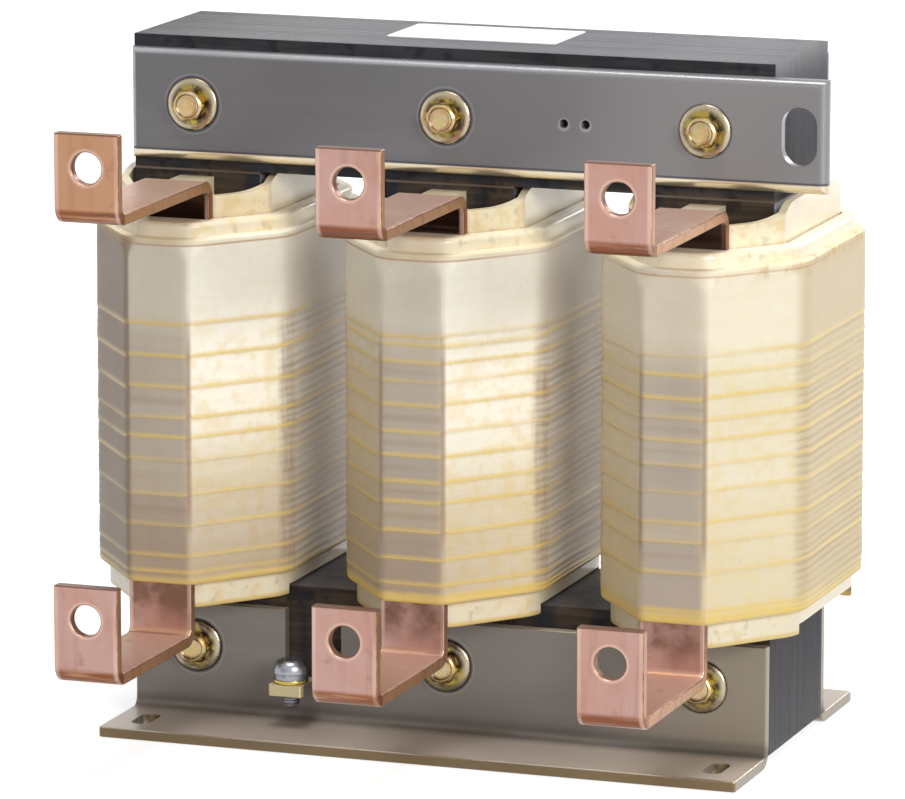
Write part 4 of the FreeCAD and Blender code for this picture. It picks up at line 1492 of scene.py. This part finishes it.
@dataclass
class ClampFasteners:
    """Six through bolts with their heads in front and their nuts behind, each on broad washers."""

    pitch: float = 1.25 * MM
    groove: float = 0.5 * MM
    segments: int = 48
    across_flats: float = 13 * MM
    bolt_radius: float = 4 * MM
    tip_chamfer: float = 1.0 * MM
    hole_radius: float = 4.5 * MM
    countersink: float = 0.5 * MM
    crown: float = 0.88
    crown_slope: float = 32.0
    turn: float = 0.06
    dish: tuple[tuple[float, float], ...] = ((1.6, 0.10), (3.4, 0.14), (4.5, 0.26), (4.9, 0.46), (5.2, 0.20),
                                             (5.45, 0.05))
    plated: PlatedFinish = PlatedFinish("yellow_plating", (0.50, 0.40, 0.26), (0.52, 0.34, 0.15), (0.42, 0.38, 0.14),
                                        (0.045, 0.026, 0.016))

    def circle(self, radius: float, y: float) -> list[Vector]:
        """Points of one round ring about Y."""
        return [Vector((x, y, z)) for x, z in circle(radius, self.segments)]

    def hexagon(self, y: float, outward: float, crowned: bool) -> list[Vector]:
        """One six-sided ring about Y, its corners to the left and right.

        Args:
            y: the place of the face that it belongs to.
            outward: +1 or -1, the way that the face looks.
            crowned: whether the corners fall back under the crown's cone.

        Returns:
            The ring's points.
        """
        inner = self.across_flats / 2
        points = []
        for angle in angles(self.segments):
            radius = inner / math.cos(angle % (math.pi / 3) - math.pi / 6)
            drop = max(0.0, radius - inner * self.crown) * math.tan(math.radians(self.crown_slope))
            back = -outward * drop if crowned else 0.0
            points.append(Vector((radius * math.cos(angle), y + back, radius * math.sin(angle))))
        return points

    def place_all(self, name: str, node: str, mesh: bpy.types.Mesh, tree: GeometryGraph, seed: int,
                  metal: bpy.types.Material) -> None:
        """Repeats a fastener on its six places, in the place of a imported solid.

        Args:
            name: the new piece's name.
            node: the solid's name.
            mesh: one fastener about the Y axis.
            tree: the tree that repeats it.
            seed: which way the fasteners are turned.
            metal: the finish.
        """
        low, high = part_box("front_washers")
        span = high - low - 2 * Vector.Fill(3, WASHER_RADIUS)
        piece = tree.run(new_piece(name, mesh), {
            "Columns": 3, "Rows": 2, "Turn": self.turn, "Seed": seed, "Material": metal, "Width": span.x,
            "Height": span.z, "Centre": ((high.x + low.x) / 2, 0.0, (high.z + low.z) / 2)})
        smooth(piece.data)
        stand_in(piece, "yellow_zinc", node)

    def bolt(self) -> bpy.types.Mesh:
        """One bolt along Y: dished head in front, thread grooves behind the nut.

        Returns:
            The bolt's mesh.
        """
        low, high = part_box("clamp_bolts")
        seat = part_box("front_washers")[0].y
        rings = [self.circle(radius * MM, low.y + depth * MM) for radius, depth in self.dish]
        rings += [self.circle(self.across_flats / 2 * self.crown, low.y), self.hexagon(low.y, -1, True),
                  self.hexagon(seat, -1, False), self.circle(self.bolt_radius, seat)]
        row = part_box("clamp_nuts")[1].y - self.pitch
        while row < high.y - self.tip_chamfer - self.pitch / 2:
            rings += [self.circle(self.bolt_radius, row), self.circle(self.bolt_radius, row + 0.2 * self.pitch),
                      self.circle(self.bolt_radius - self.groove, row + 0.55 * self.pitch)]
            row += self.pitch
        tip = self.bolt_radius - self.tip_chamfer
        rings += [self.circle(self.bolt_radius, row), self.circle(self.bolt_radius, high.y - self.tip_chamfer),
                  self.circle(tip, high.y), self.circle(tip / 3, high.y)]
        return ring_mesh("clamp_bolt", rings, closed=False)

    def nut(self) -> bpy.types.Mesh:
        """One crowned nut along Y with a countersunk thread.

        Returns:
            The nut's mesh.
        """
        low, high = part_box("clamp_nuts")
        bore = self.bolt_radius + 0.02 * MM
        mouth = bore + self.countersink
        face = self.across_flats / 2 * self.crown
        rings = [self.circle(bore, low.y + self.countersink), self.circle(mouth, low.y), self.circle(face, low.y),
                 self.hexagon(low.y, -1, True), self.hexagon(high.y, 1, True), self.circle(face, high.y),
                 self.circle(mouth, high.y), self.circle(bore, high.y - self.countersink)]
        return ring_mesh("clamp_nut", rings, closed=True)

    def washer(self, seat: float, outer: float) -> bpy.types.Mesh:
        """One washer along Y, its outer face falling away towards the rim.

        Args:
            seat: Y of the face that lies on the clamp.
            outer: Y of the face that shows.

        Returns:
            The washer's mesh.
        """
        hole, rim = self.hole_radius, WASHER_RADIUS
        section = ((hole, 0.0), (hole, 0.85), (hole + 0.3 * MM, 1.0), (rim - 4.0 * MM, 0.97), (rim - 2.2 * MM, 0.86),
                   (rim - 0.9 * MM, 0.66), (rim - 0.2 * MM, 0.42), (rim, 0.25), (rim, 0.0))
        rings = [self.circle(radius, seat + (outer - seat) * share) for radius, share in section]
        return ring_mesh("clamp_washer", rings, closed=True)

    def build(self) -> None:
        """Makes bolts, nuts and washers."""
        metal, tree = self.plated.material(), pattern_tree()
        front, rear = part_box("front_washers"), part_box("rear_washers")
        for name, node, mesh, seed in (
                ("dished_clamp_bolts", "clamp_bolts", self.bolt(), 4),
                ("crowned_clamp_nuts", "clamp_nuts", self.nut(), 7),
                ("broad_front_washers", "front_washers", self.washer(front[1].y, front[0].y), 9),
                ("broad_rear_washers", "rear_washers", self.washer(rear[0].y, rear[1].y), 12)):
            self.place_all(name, node, mesh, tree, seed, metal)


@dataclass(frozen=True)
class RingOutline:
    """Eight-sided outline of a coil layer, with its own rounding at the front and at the sides."""

    front_flat: float
    side_flat: float
    corner: float
    side_corner: float
    corner_steps: int = 6
    front_steps: int = 8
    oblique_steps: int = 9
    side_steps: int = 22
    tolerance: float = 1e-6

    def points(self, low: Vector, high: Vector) -> list[tuple[Vector, Vector, float]]:
        """Rounded outline, anticlockwise from above.

        Args:
            low: the lowest corner of the box that it fills.
            high: the highest corner.

        Returns:
            For each point its place, its outward direction and how near it is to a crease of the front or back.
        """
        middle = (low + high) / 2
        corners = [((high.x - low.x) / 2, self.side_flat / 2), (self.front_flat / 2, (high.y - low.y) / 2)]
        corners += [(-x, y) for x, y in reversed(corners)]
        corners += [(-x, -y) for x, y in corners]
        places = [Vector((middle.x + x, middle.y + y, 0.0)) for x, y in corners]
        count = len(places)
        ways = [(places[(index + 1) % count] - place).normalized() for index, place in enumerate(places)]
        normals = [Vector((way.y, -way.x, 0.0)) for way in ways]
        creased = [abs(abs(place.x - middle.x) - self.front_flat / 2) < self.tolerance for place in places]
        radii = [self.corner if sharp else self.side_corner for sharp in creased]
        setbacks = [radii[index] * math.tan(ways[index - 1].angle(ways[index]) / 2) for index in range(count)]
        pieces = (self.oblique_steps, self.front_steps, self.oblique_steps, self.side_steps) * 2
        points: list[tuple[Vector, Vector, float]] = []
        for index, place in enumerate(places):
            before, after = normals[index - 1], normals[index]
            centre = place - ways[index - 1] * setbacks[index] - before * radii[index]
            for step in range(self.corner_steps + 1):
                share = step / self.corner_steps
                outward = before.lerp(after, share).normalized()
                fold = 1 - abs(2 * share - 1) if creased[index] else 0.0
                points.append((centre + outward * radii[index], outward, fold))
            start = place + ways[index] * setbacks[index]
            run = (places[(index + 1) % count] - place).length - setbacks[index] - setbacks[(index + 1) % count]
            steps = pieces[index]
            points += [(start + ways[index] * (run * step / steps), after, 0.0) for step in range(1, steps)]
        return points


@dataclass(frozen=True)
class InnerLayer:
    """Inner layer of a coil: a soft-edged ring that stands above and below the outer one."""

    outside: RingOutline = RingOutline(26.2 * MM, 88.4 * MM, 18 * MM, 22 * MM)
    inside: RingOutline = RingOutline(37.5 * MM, 86.1 * MM, 5 * MM, 5 * MM)
    side_build: float = 8 * MM
    front_build: float = 18.5 * MM
    top_round: float = 2.4 * MM
    bottom_round: float = 1.2 * MM
    inner_bevel: float = 1 * MM
    bar_half: float = 15.1 * MM
    bar_depth: float = 5.1 * MM
    bar_anchor: float = 60.1 * MM
    skirt: float = 5 * MM
    yoke_gap: float = 1 * MM
    overcut: float = 1 * MM
    bar_overcut: float = 3 * MM

    def ring(self, low: Vector, high: Vector) -> bpy.types.Mesh:
        """The whole ring, before the cuts for the yoke and the terminal.

        Args:
            low: the layer's lowest corner.
            high: its highest corner.

        Returns:
            The closed ring.
        """
        build = Vector((self.side_build, self.front_build, 0.0))
        outer, inner = self.outside.points(low, high), self.inside.points(low + build, high - build)
        rows = [(inner, low.z, 0.0)]
        rows += [(outer, low.z + self.bottom_round * up, -self.bottom_round * slip) for up, slip in ARC]
        rows += [(outer, high.z - self.top_round * up, -self.top_round * slip) for up, slip in reversed(ARC)]
        rows += [(inner, high.z, self.inner_bevel), (inner, high.z - self.inner_bevel, 0.0)]
        rings = [[place + way * out + Vector((0.0, 0.0, height)) for place, way, _ in outline]
                 for outline, height, out in rows]
        return ring_mesh("inner_ring", rings, closed=True)

    def build(self, node: str, bar: str, material: bpy.types.Material) -> None:
        """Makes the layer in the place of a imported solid.

        Args:
            node: the solid's name.
            bar: the terminal that stands in it.
            material: the layer's finish.
        """
        low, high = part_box(node)
        core_low, core_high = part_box("core_e_stack")
        bar_low, bar_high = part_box(bar)
        piece = new_piece(node + "_board", self.ring(low, high))
        piece.data.materials.append(material)
        middle, front, past = (bar_low.x + bar_high.x) / 2, low.y + self.front_build, self.overcut
        cut_boxes(piece, [((low.x - past, core_low.y - self.yoke_gap, low.z - past),
                           (high.x + past, core_high.y + self.yoke_gap, low.z + self.skirt)),
                          ((middle - self.bar_half, front - self.bar_depth, high.z - self.bar_anchor),
                           (middle + self.bar_half, front + self.bar_overcut, high.z + past))])
        smooth(piece.data)
        stand_in(piece, "coil_insulation", node)


@dataclass(frozen=True)
class TapedLayer:
    """Outer layer of a coil under its wound tape."""

    outside: RingOutline = RingOutline(30 * MM, 96 * MM, 7 * MM, 24 * MM)
    rim: float = 1.5 * MM
    side_inset: float = 4 * MM
    front_inset: float = 6.5 * MM
    top_outline: RingOutline = RingOutline(30 * MM, 96 * MM, 22 * MM, 28 * MM)
    softened: float = 9 * MM
    bedded: float = 10 * MM
    strand: float = 3.4 * MM
    strand_steps: int = 8
    lap_edge: float = 0.02
    plain_rows: tuple[float, ...] = (0.03, 0.06, 0.1, 0.2, 0.3, 0.5, 0.65, 0.75, 0.83, 0.9, 0.94)
    step: float = 0.32 * MM
    wander: float = 1.1 * MM
    tilt: float = 0.6 * MM
    pucker: float = 0.5 * MM
    ridge: float = 0.2 * MM
    smooth_below: float = 40.0

    def row(self, height: float, inset: float, **marks: float) -> dict[str, float]:
        """One row of the ring, plain but for the given marks."""
        return {"height": height, "inset": inset, "slip": 0.0, **PLAIN_MARKS, **marks}

    def rounded(self, edge: float, sign: int) -> list[dict[str, float]]:
        """Rows of a rounded rim, from the edge inwards: up with sign +1, down with -1."""
        return [self.row(edge + sign * self.rim * up, 0.0, slip=self.rim * slip, skin=1.0 - slip, rim=1.0)
                for up, slip in ARC]

    def rows(self, low: float, high: float, laps: tuple[float, ...]) -> list[dict[str, float]]:
        """Rows of the ring from its lower inner edge up the outside to its upper inner edge.

        Args:
            low: the layer's foot.
            high: its top.
            laps: height of each lap of the tape above the foot, in millimetres.

        Returns:
            Height, inset, roundness, lap and strand values of each row.
        """
        rows = [self.row(low, 1.0), *self.rounded(low, 1)]
        levels = [low + self.rim, *[low + lap * MM for lap in laps]]
        laid = 0
        for count, (edge, above) in enumerate(zip(levels, levels[1:])):
            strands = max(1, round((above - edge) / self.strand))
            steps = self.strand_steps * strands
            for lap in [0.0, self.lap_edge, *[step / steps for step in range(1, steps)], 1.0 - self.lap_edge, 1.0]:
                height = edge + (above - edge) * lap
                rows.append(self.row(height, 0.0, lap=lap, turn=float(count), skin=1.0, strand=laid + strands * lap,
                                     laid=min(1.0, (height - low) / self.bedded), ridge=1.0, over=height - edge,
                                     under=above - height))
            laid += strands
        top, plain, turns = levels[-1], high - levels[-1], float(len(laps))
        rows.append(self.row(top, 0.0, lap=0.0, turn=turns, laid=1.0, skin=1.0, over=0.0))
        rows += [self.row(top + plain * share, 0.0, lap=min(0.5, share * 2.4), turn=turns, laid=1.0 - share,
                          skin=1.0, over=plain * share) for share in self.plain_rows]
        return [*rows, *reversed(self.rounded(high, -1)), self.row(high, 1.0, rim=0.6)]

    def mesh(self, node: str, laps: tuple[float, ...]) -> bpy.types.Mesh:
        """Ring mesh of one coil's outer layer, with the attributes that its tape follows.

        Args:
            node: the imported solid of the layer.
            laps: height of each lap of the tape, in millimetres.

        Returns:
            The closed ring.
        """
        low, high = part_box(node)
        outline, soft = self.outside.points(low, high), self.top_outline.points(low, high)
        rows = self.rows(low.z, high.z, laps)
        rings = []
        for row in rows:
            ring = []
            share = min(1.0, max(0.0, (row["height"] - high.z + self.softened) / (self.softened - self.rim)))
            share = share * share * (3 - 2 * share)
            for (sharp_place, sharp_way, _), (soft_place, soft_way, _) in zip(outline, soft):
                place = sharp_place.lerp(soft_place, share)
                outward = sharp_way.lerp(soft_way, share).normalized()
                full = self.side_inset + (self.front_inset - self.side_inset) * abs(outward.y)
                inset = row["inset"] * full + row["slip"]
                ring.append(Vector((place.x, place.y, 0.0)) - outward * inset + Vector((0.0, 0.0, row["height"])))
            rings.append(ring)
        mesh = ring_mesh(node + "_ring", rings, closed=True)
        marks = {name: [row[name] for row in rows for _ in outline] for name in PLAIN_MARKS}
        marks["crease"] = [fold for _ in rows for _, _, fold in outline]
        for name, values in marks.items():
            mesh.attributes.new(name, "FLOAT", "POINT").data.foreach_set("value", values)
        outward = [part for _ in rows for _, way, _ in outline for part in way]
        mesh.attributes.new("outward", "FLOAT_VECTOR", "POINT").data.foreach_set("vector", outward)
        return mesh

    def build(self, node: str, laps: tuple[float, ...], seed: float, material: bpy.types.Material) -> None:
        """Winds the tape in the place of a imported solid.

        Args:
            node: the solid's name.
            laps: height of each lap of the tape, in millimetres.
            seed: which way the laps wander.
            material: the tape's finish.
        """
        piece = new_piece(node + "_tape", self.mesh(node, laps))
        TapeTree().run(piece, {"Step": self.step, "Wander": self.wander, "Tilt": self.tilt, "Pucker": self.pucker,
                               "Ridge": self.ridge, "Seed": seed, "Material": material})
        smooth(piece.data, self.smooth_below)
        stand_in(piece, "coil_tape", node)


@dataclass
class Coils:
    """Three coils, each with its former, layers, spacers and copper terminals."""

    laps: dict[Phase, tuple[float, ...]] = field(default_factory=lambda: {
        Phase.LEFT: (5.0, 12.8, 26.7, 40.6, 55.7, 66.4, 75.2, 88.9, 103.0, 117.5),
        Phase.MIDDLE: (3.2, 8.3, 19.7, 32.2, 45.1, 54.2, 65.6, 76.4, 88.8, 99.0, 107.6, 115.4, 119.2),
        Phase.RIGHT: (3.4, 5.6, 22.6, 35.7, 44.6, 58.4, 70.1, 81.1, 90.7, 99.6, 109.9, 118.2)})
    seed_step: float = 11.3
    layer: TapedLayer = TapedLayer()
    board: InnerLayer = InnerLayer()
    tape: TapeFinish = TapeFinish()
    copper: CopperFinish = CopperFinish()
    inner: ResinFinish = ResinFinish("inner_layer_board", (0.84, 0.77, 0.59), (0.70, 0.55, 0.33),
                                     (0.72, 0.50, 0.12), 0.25)
    former: ResinFinish = ResinFinish("former_laminate", (0.82, 0.74, 0.54), (0.60, 0.44, 0.25),
                                      (0.62, 0.40, 0.10), 0.55, 0.7)

    def build(self) -> None:
        """Makes or dresses every piece of the three coils."""
        tape, copper = self.tape.material(), self.copper.material()
        inner, former = self.inner.material(), self.former.material()
        dressed = {"coil_former": former, "coil_spacers": former, "upper_terminal": copper, "lower_terminal": copper}
        for index, phase in enumerate(Phase):
            name = phase.value
            self.layer.build(name + "_coil_outer_layer", self.laps[phase], self.seed_step * index, tape)
            self.board.build(name + "_coil_inner_layer", name + "_upper_terminal", inner)
            for kind, material in dressed.items():
                dress(f"{name}_{kind}", material)


@dataclass
class EarthPoint:
    """Pan-head screw with its two washers on the earth tab."""

    steps: int = 48
    shank: float = 4 * MM
    thread: float = 1.25 * MM
    groove: float = 0.5 * MM
    tip: tuple[tuple[float, float], ...] = ((0.6, 0.0), (1.9, 0.3), (3.0, 0.9), (3.6, 1.7), (4.0, 2.6))
    thread_start: float = 3.2 * MM
    thread_end: float = 1.3 * MM
    head_edge: float = 0.3 * MM
    head_angles: tuple[int, ...] = (10, 22, 34, 46, 58, 70, 80, 87)
    head_squareness: tuple[float, float] = (0.55, 0.9)
    washer_play: float = 0.35 * MM
    washer_edge: float = 0.6 * MM
    washer_slope: float = 0.15 * MM
    slot: float = 2 * MM
    slot_depth: float = 1.6 * MM
    clear: PlatedFinish = PlatedFinish("clear_plating", (0.36, 0.37, 0.40), (0.30, 0.31, 0.35), (0.27, 0.30, 0.36),
                                       (0.03, 0.03, 0.04), 0.30)
    gold: PlatedFinish = PlatedFinish("gold_plating", (0.58, 0.44, 0.12), (0.50, 0.36, 0.10), (0.50, 0.42, 0.18),
                                      (0.06, 0.04, 0.01), 0.26)

    def lathe(self, name: str, middle: Vector, section: list[tuple[float, float]], closed: bool) -> bpy.types.Object:
        """Turns a section about the screw's axis.

        Args:
            name: the piece's name.
            middle: a point on the axis.
            section: the radius and height of each row, in metres.
            closed: whether the section closes on itself.

        Returns:
            The turned piece.
        """
        rings = [[Vector((middle.x + x, middle.y + y, height)) for x, y in circle(radius, self.steps)]
                 for radius, height in section]
        return new_piece(name, ring_mesh(name, rings, closed))

    def finish(self, piece: bpy.types.Object, material: bpy.types.Material, slot: str, node: str) -> None:
        """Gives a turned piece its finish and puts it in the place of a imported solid.

        Args:
            piece: the turned piece.
            material: its finish.
            slot: the record's material slot.
            node: the solid's name.
        """
        piece.data.materials.clear()
        piece.data.materials.append(material)
        smooth(piece.data)
        stand_in(piece, slot, node)

    def screw(self, clear: bpy.types.Material) -> None:
        """Makes the screw: a broad pan head with a cross slot, and a round-ended shank with thread grooves.

        Args:
            clear: the screw's plating.
        """
        low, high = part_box("earth_screw")
        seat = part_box("earth_spring_washer")[1].z
        middle = (low + high) / 2
        head, top, shank, edge = (high.x - low.x) / 2, high.z - 0.5 * MM, self.shank, self.head_edge
        section = [(radius * MM, low.z + rise * MM) for radius, rise in self.tip]
        height = low.z + self.thread_start
        while height < seat - self.thread_end:
            section += [(shank - self.groove, height), (shank, height + self.groove),
                        (shank, height + 0.6 * self.thread)]
            height += self.thread
        section += [(shank, seat), (head - edge, seat), (head, seat + edge)]
        side, crown = self.head_squareness
        for angle in self.head_angles:
            turn = math.radians(angle)
            section.append((head * math.cos(turn) ** side, seat + edge + (top - seat - edge) * math.sin(turn) ** crown))
        piece = self.lathe("turned_earth_screw", middle, section, closed=False)
        arm, half = head * 0.5, self.slot / 2
        for x, y in ((arm, half), (half, arm)):
            cut_boxes(piece, [((middle.x - x, middle.y - y, top - self.slot_depth),
                               (middle.x + x, middle.y + y, top + MM))])
        self.finish(piece, clear, "bright_zinc", "earth_screw")

    def plain_washer(self) -> None:
        """Makes the plain washer with rolled edges."""
        low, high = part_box("earth_plain_washer")
        outer, inner, edge = (high.x - low.x) / 2, self.shank + self.washer_play, self.washer_edge
        lower = [(inner, 0.0), (outer - edge, 0.0), (outer - self.washer_slope, 0.3 * edge), (outer, edge)]
        section = [(radius, low.z + rise) for radius, rise in lower]
        section += [(radius, high.z - rise) for radius, rise in reversed(lower)]
        piece = self.lathe("turned_earth_washer", (low + high) / 2, section, closed=True)
        self.finish(piece, self.gold.material(), "yellow_zinc", "earth_plain_washer")

    def build(self) -> None:
        """Makes the screw and the plain washer, and dresses the spring washer."""
        clear = self.clear.material()
        self.screw(clear)
        self.plain_washer()
        dress("earth_spring_washer", clear)


def hold(name: str, data: bpy.types.ID, place: Vector, look: Vector) -> bpy.types.Object:
    """Puts a lamp or camera in the scene.

    Args:
        name: the object's name.
        data: the lamp or camera.
        place: where it is.
        look: the way that it looks.

    Returns:
        The object.
    """
    holder = bpy.data.objects.new(name, data)
    holder.location = place
    holder.rotation_euler = look.to_track_quat("-Z", "Y").to_euler()
    bpy.context.scene.collection.objects.link(holder)
    return holder


@dataclass(frozen=True)
class Lamp:
    """One soft lamp: where it hangs, its width and height, its power in watts and its colour."""

    name: str
    place: tuple[float, float, float]
    size: tuple[float, float]
    power: float
    tint: Colour = WHITE

    def hang(self, aim: Vector) -> None:
        """Hangs the lamp.

        Args:
            aim: the point that it looks at.
        """
        light = bpy.data.lights.new(self.name, "AREA")
        light.shape = "RECTANGLE"
        light.size, light.size_y = self.size
        light.energy = self.power
        light.color = self.tint
        place = Vector(self.place)
        hold(self.name, light, place, aim - place)


@dataclass
class Studio:
    """Floor, lamps, surroundings and camera."""

    azimuth: float = 19.7
    elevation: float = 11.0
    distance: float = 2.9
    lens: float = 257.5
    clip: float = 50.0
    aim: Vector = field(default_factory=lambda: Vector((-0.0084, 0.0197, 0.1519)))
    floor_size: float = 9.0
    floor_drop: float = 0.4 * MM
    ambient: float = 0.22
    lamps: tuple[Lamp, ...] = (
        Lamp("key", (2.9, -2.56, 1.49), (1.5, 1.5), 113.0, (1.0, 0.985, 0.945)),
        Lamp("top", (0.2, -0.3, 2.2), (1.4, 1.0), 33.0),
        Lamp("fill", (-2.3, -1.0, 0.6), (1.2, 1.2), 2.5, (1.0, 0.93, 0.87)),
        Lamp("back", (0.9, 2.4, 1.5), (1.2, 1.2), 34.0, (1.0, 0.98, 0.95)))

    def floor(self) -> None:
        """Lays the floor."""
        half, drop = self.floor_size / 2, -self.floor_drop
        mesh = bpy.data.meshes.new("floor")
        mesh.from_pydata([(-half, -half, drop), (half, -half, drop), (half, half, drop), (-half, half, drop)], [],
                         [(0, 1, 2, 3)])
        floor = new_piece("studio_floor", mesh)
        mesh.materials.append(FloorFinish().material())

    def surroundings(self) -> None:
        """Sets the world: an even glow on the part, plain white where it is seen."""
        world = bpy.data.worlds.new("studio")
        world.use_nodes = True
        bpy.context.scene.world = world
        graph = NodeGraph(world.node_tree)
        graph.tree.nodes.clear()
        strength = graph.blend(graph.backdrop(), self.ambient, 1.0)
        sky = graph.out("ShaderNodeBackground", {"Color": (*WHITE, 1.0), "Strength": strength})
        graph.add("ShaderNodeOutputWorld", {"Surface": sky})

    def camera(self) -> None:
        """Stands the camera where the photograph was taken from."""
        data = bpy.data.cameras.new("camera")
        data.lens = self.lens
        data.clip_end = self.clip
        turn, tip = math.radians(self.azimuth), math.radians(self.elevation)
        away = Vector((math.sin(turn) * math.cos(tip), -math.cos(turn) * math.cos(tip), math.sin(tip)))
        bpy.context.scene.camera = hold("camera", data, self.aim + away * self.distance, -away)

    def build(self) -> None:
        """Sets up the studio."""
        bpy.context.scene.view_settings.view_transform = "Standard"
        self.floor()
        self.surroundings()
        for lamp in self.lamps:
            lamp.hang(self.aim)
        self.camera()


def main() -> None:
    """Builds the reactor's looks and its studio."""
    logging.basicConfig(level=logging.INFO, format="%(name)s: %(message)s")
    for assembly in (Core(), Clamps(), ClampFasteners(), Coils(), EarthPoint()):
        assembly.build()
    dress("rating_label", LabelFinish().material())
    Studio().build()


if __name__ == "__main__":
    main()
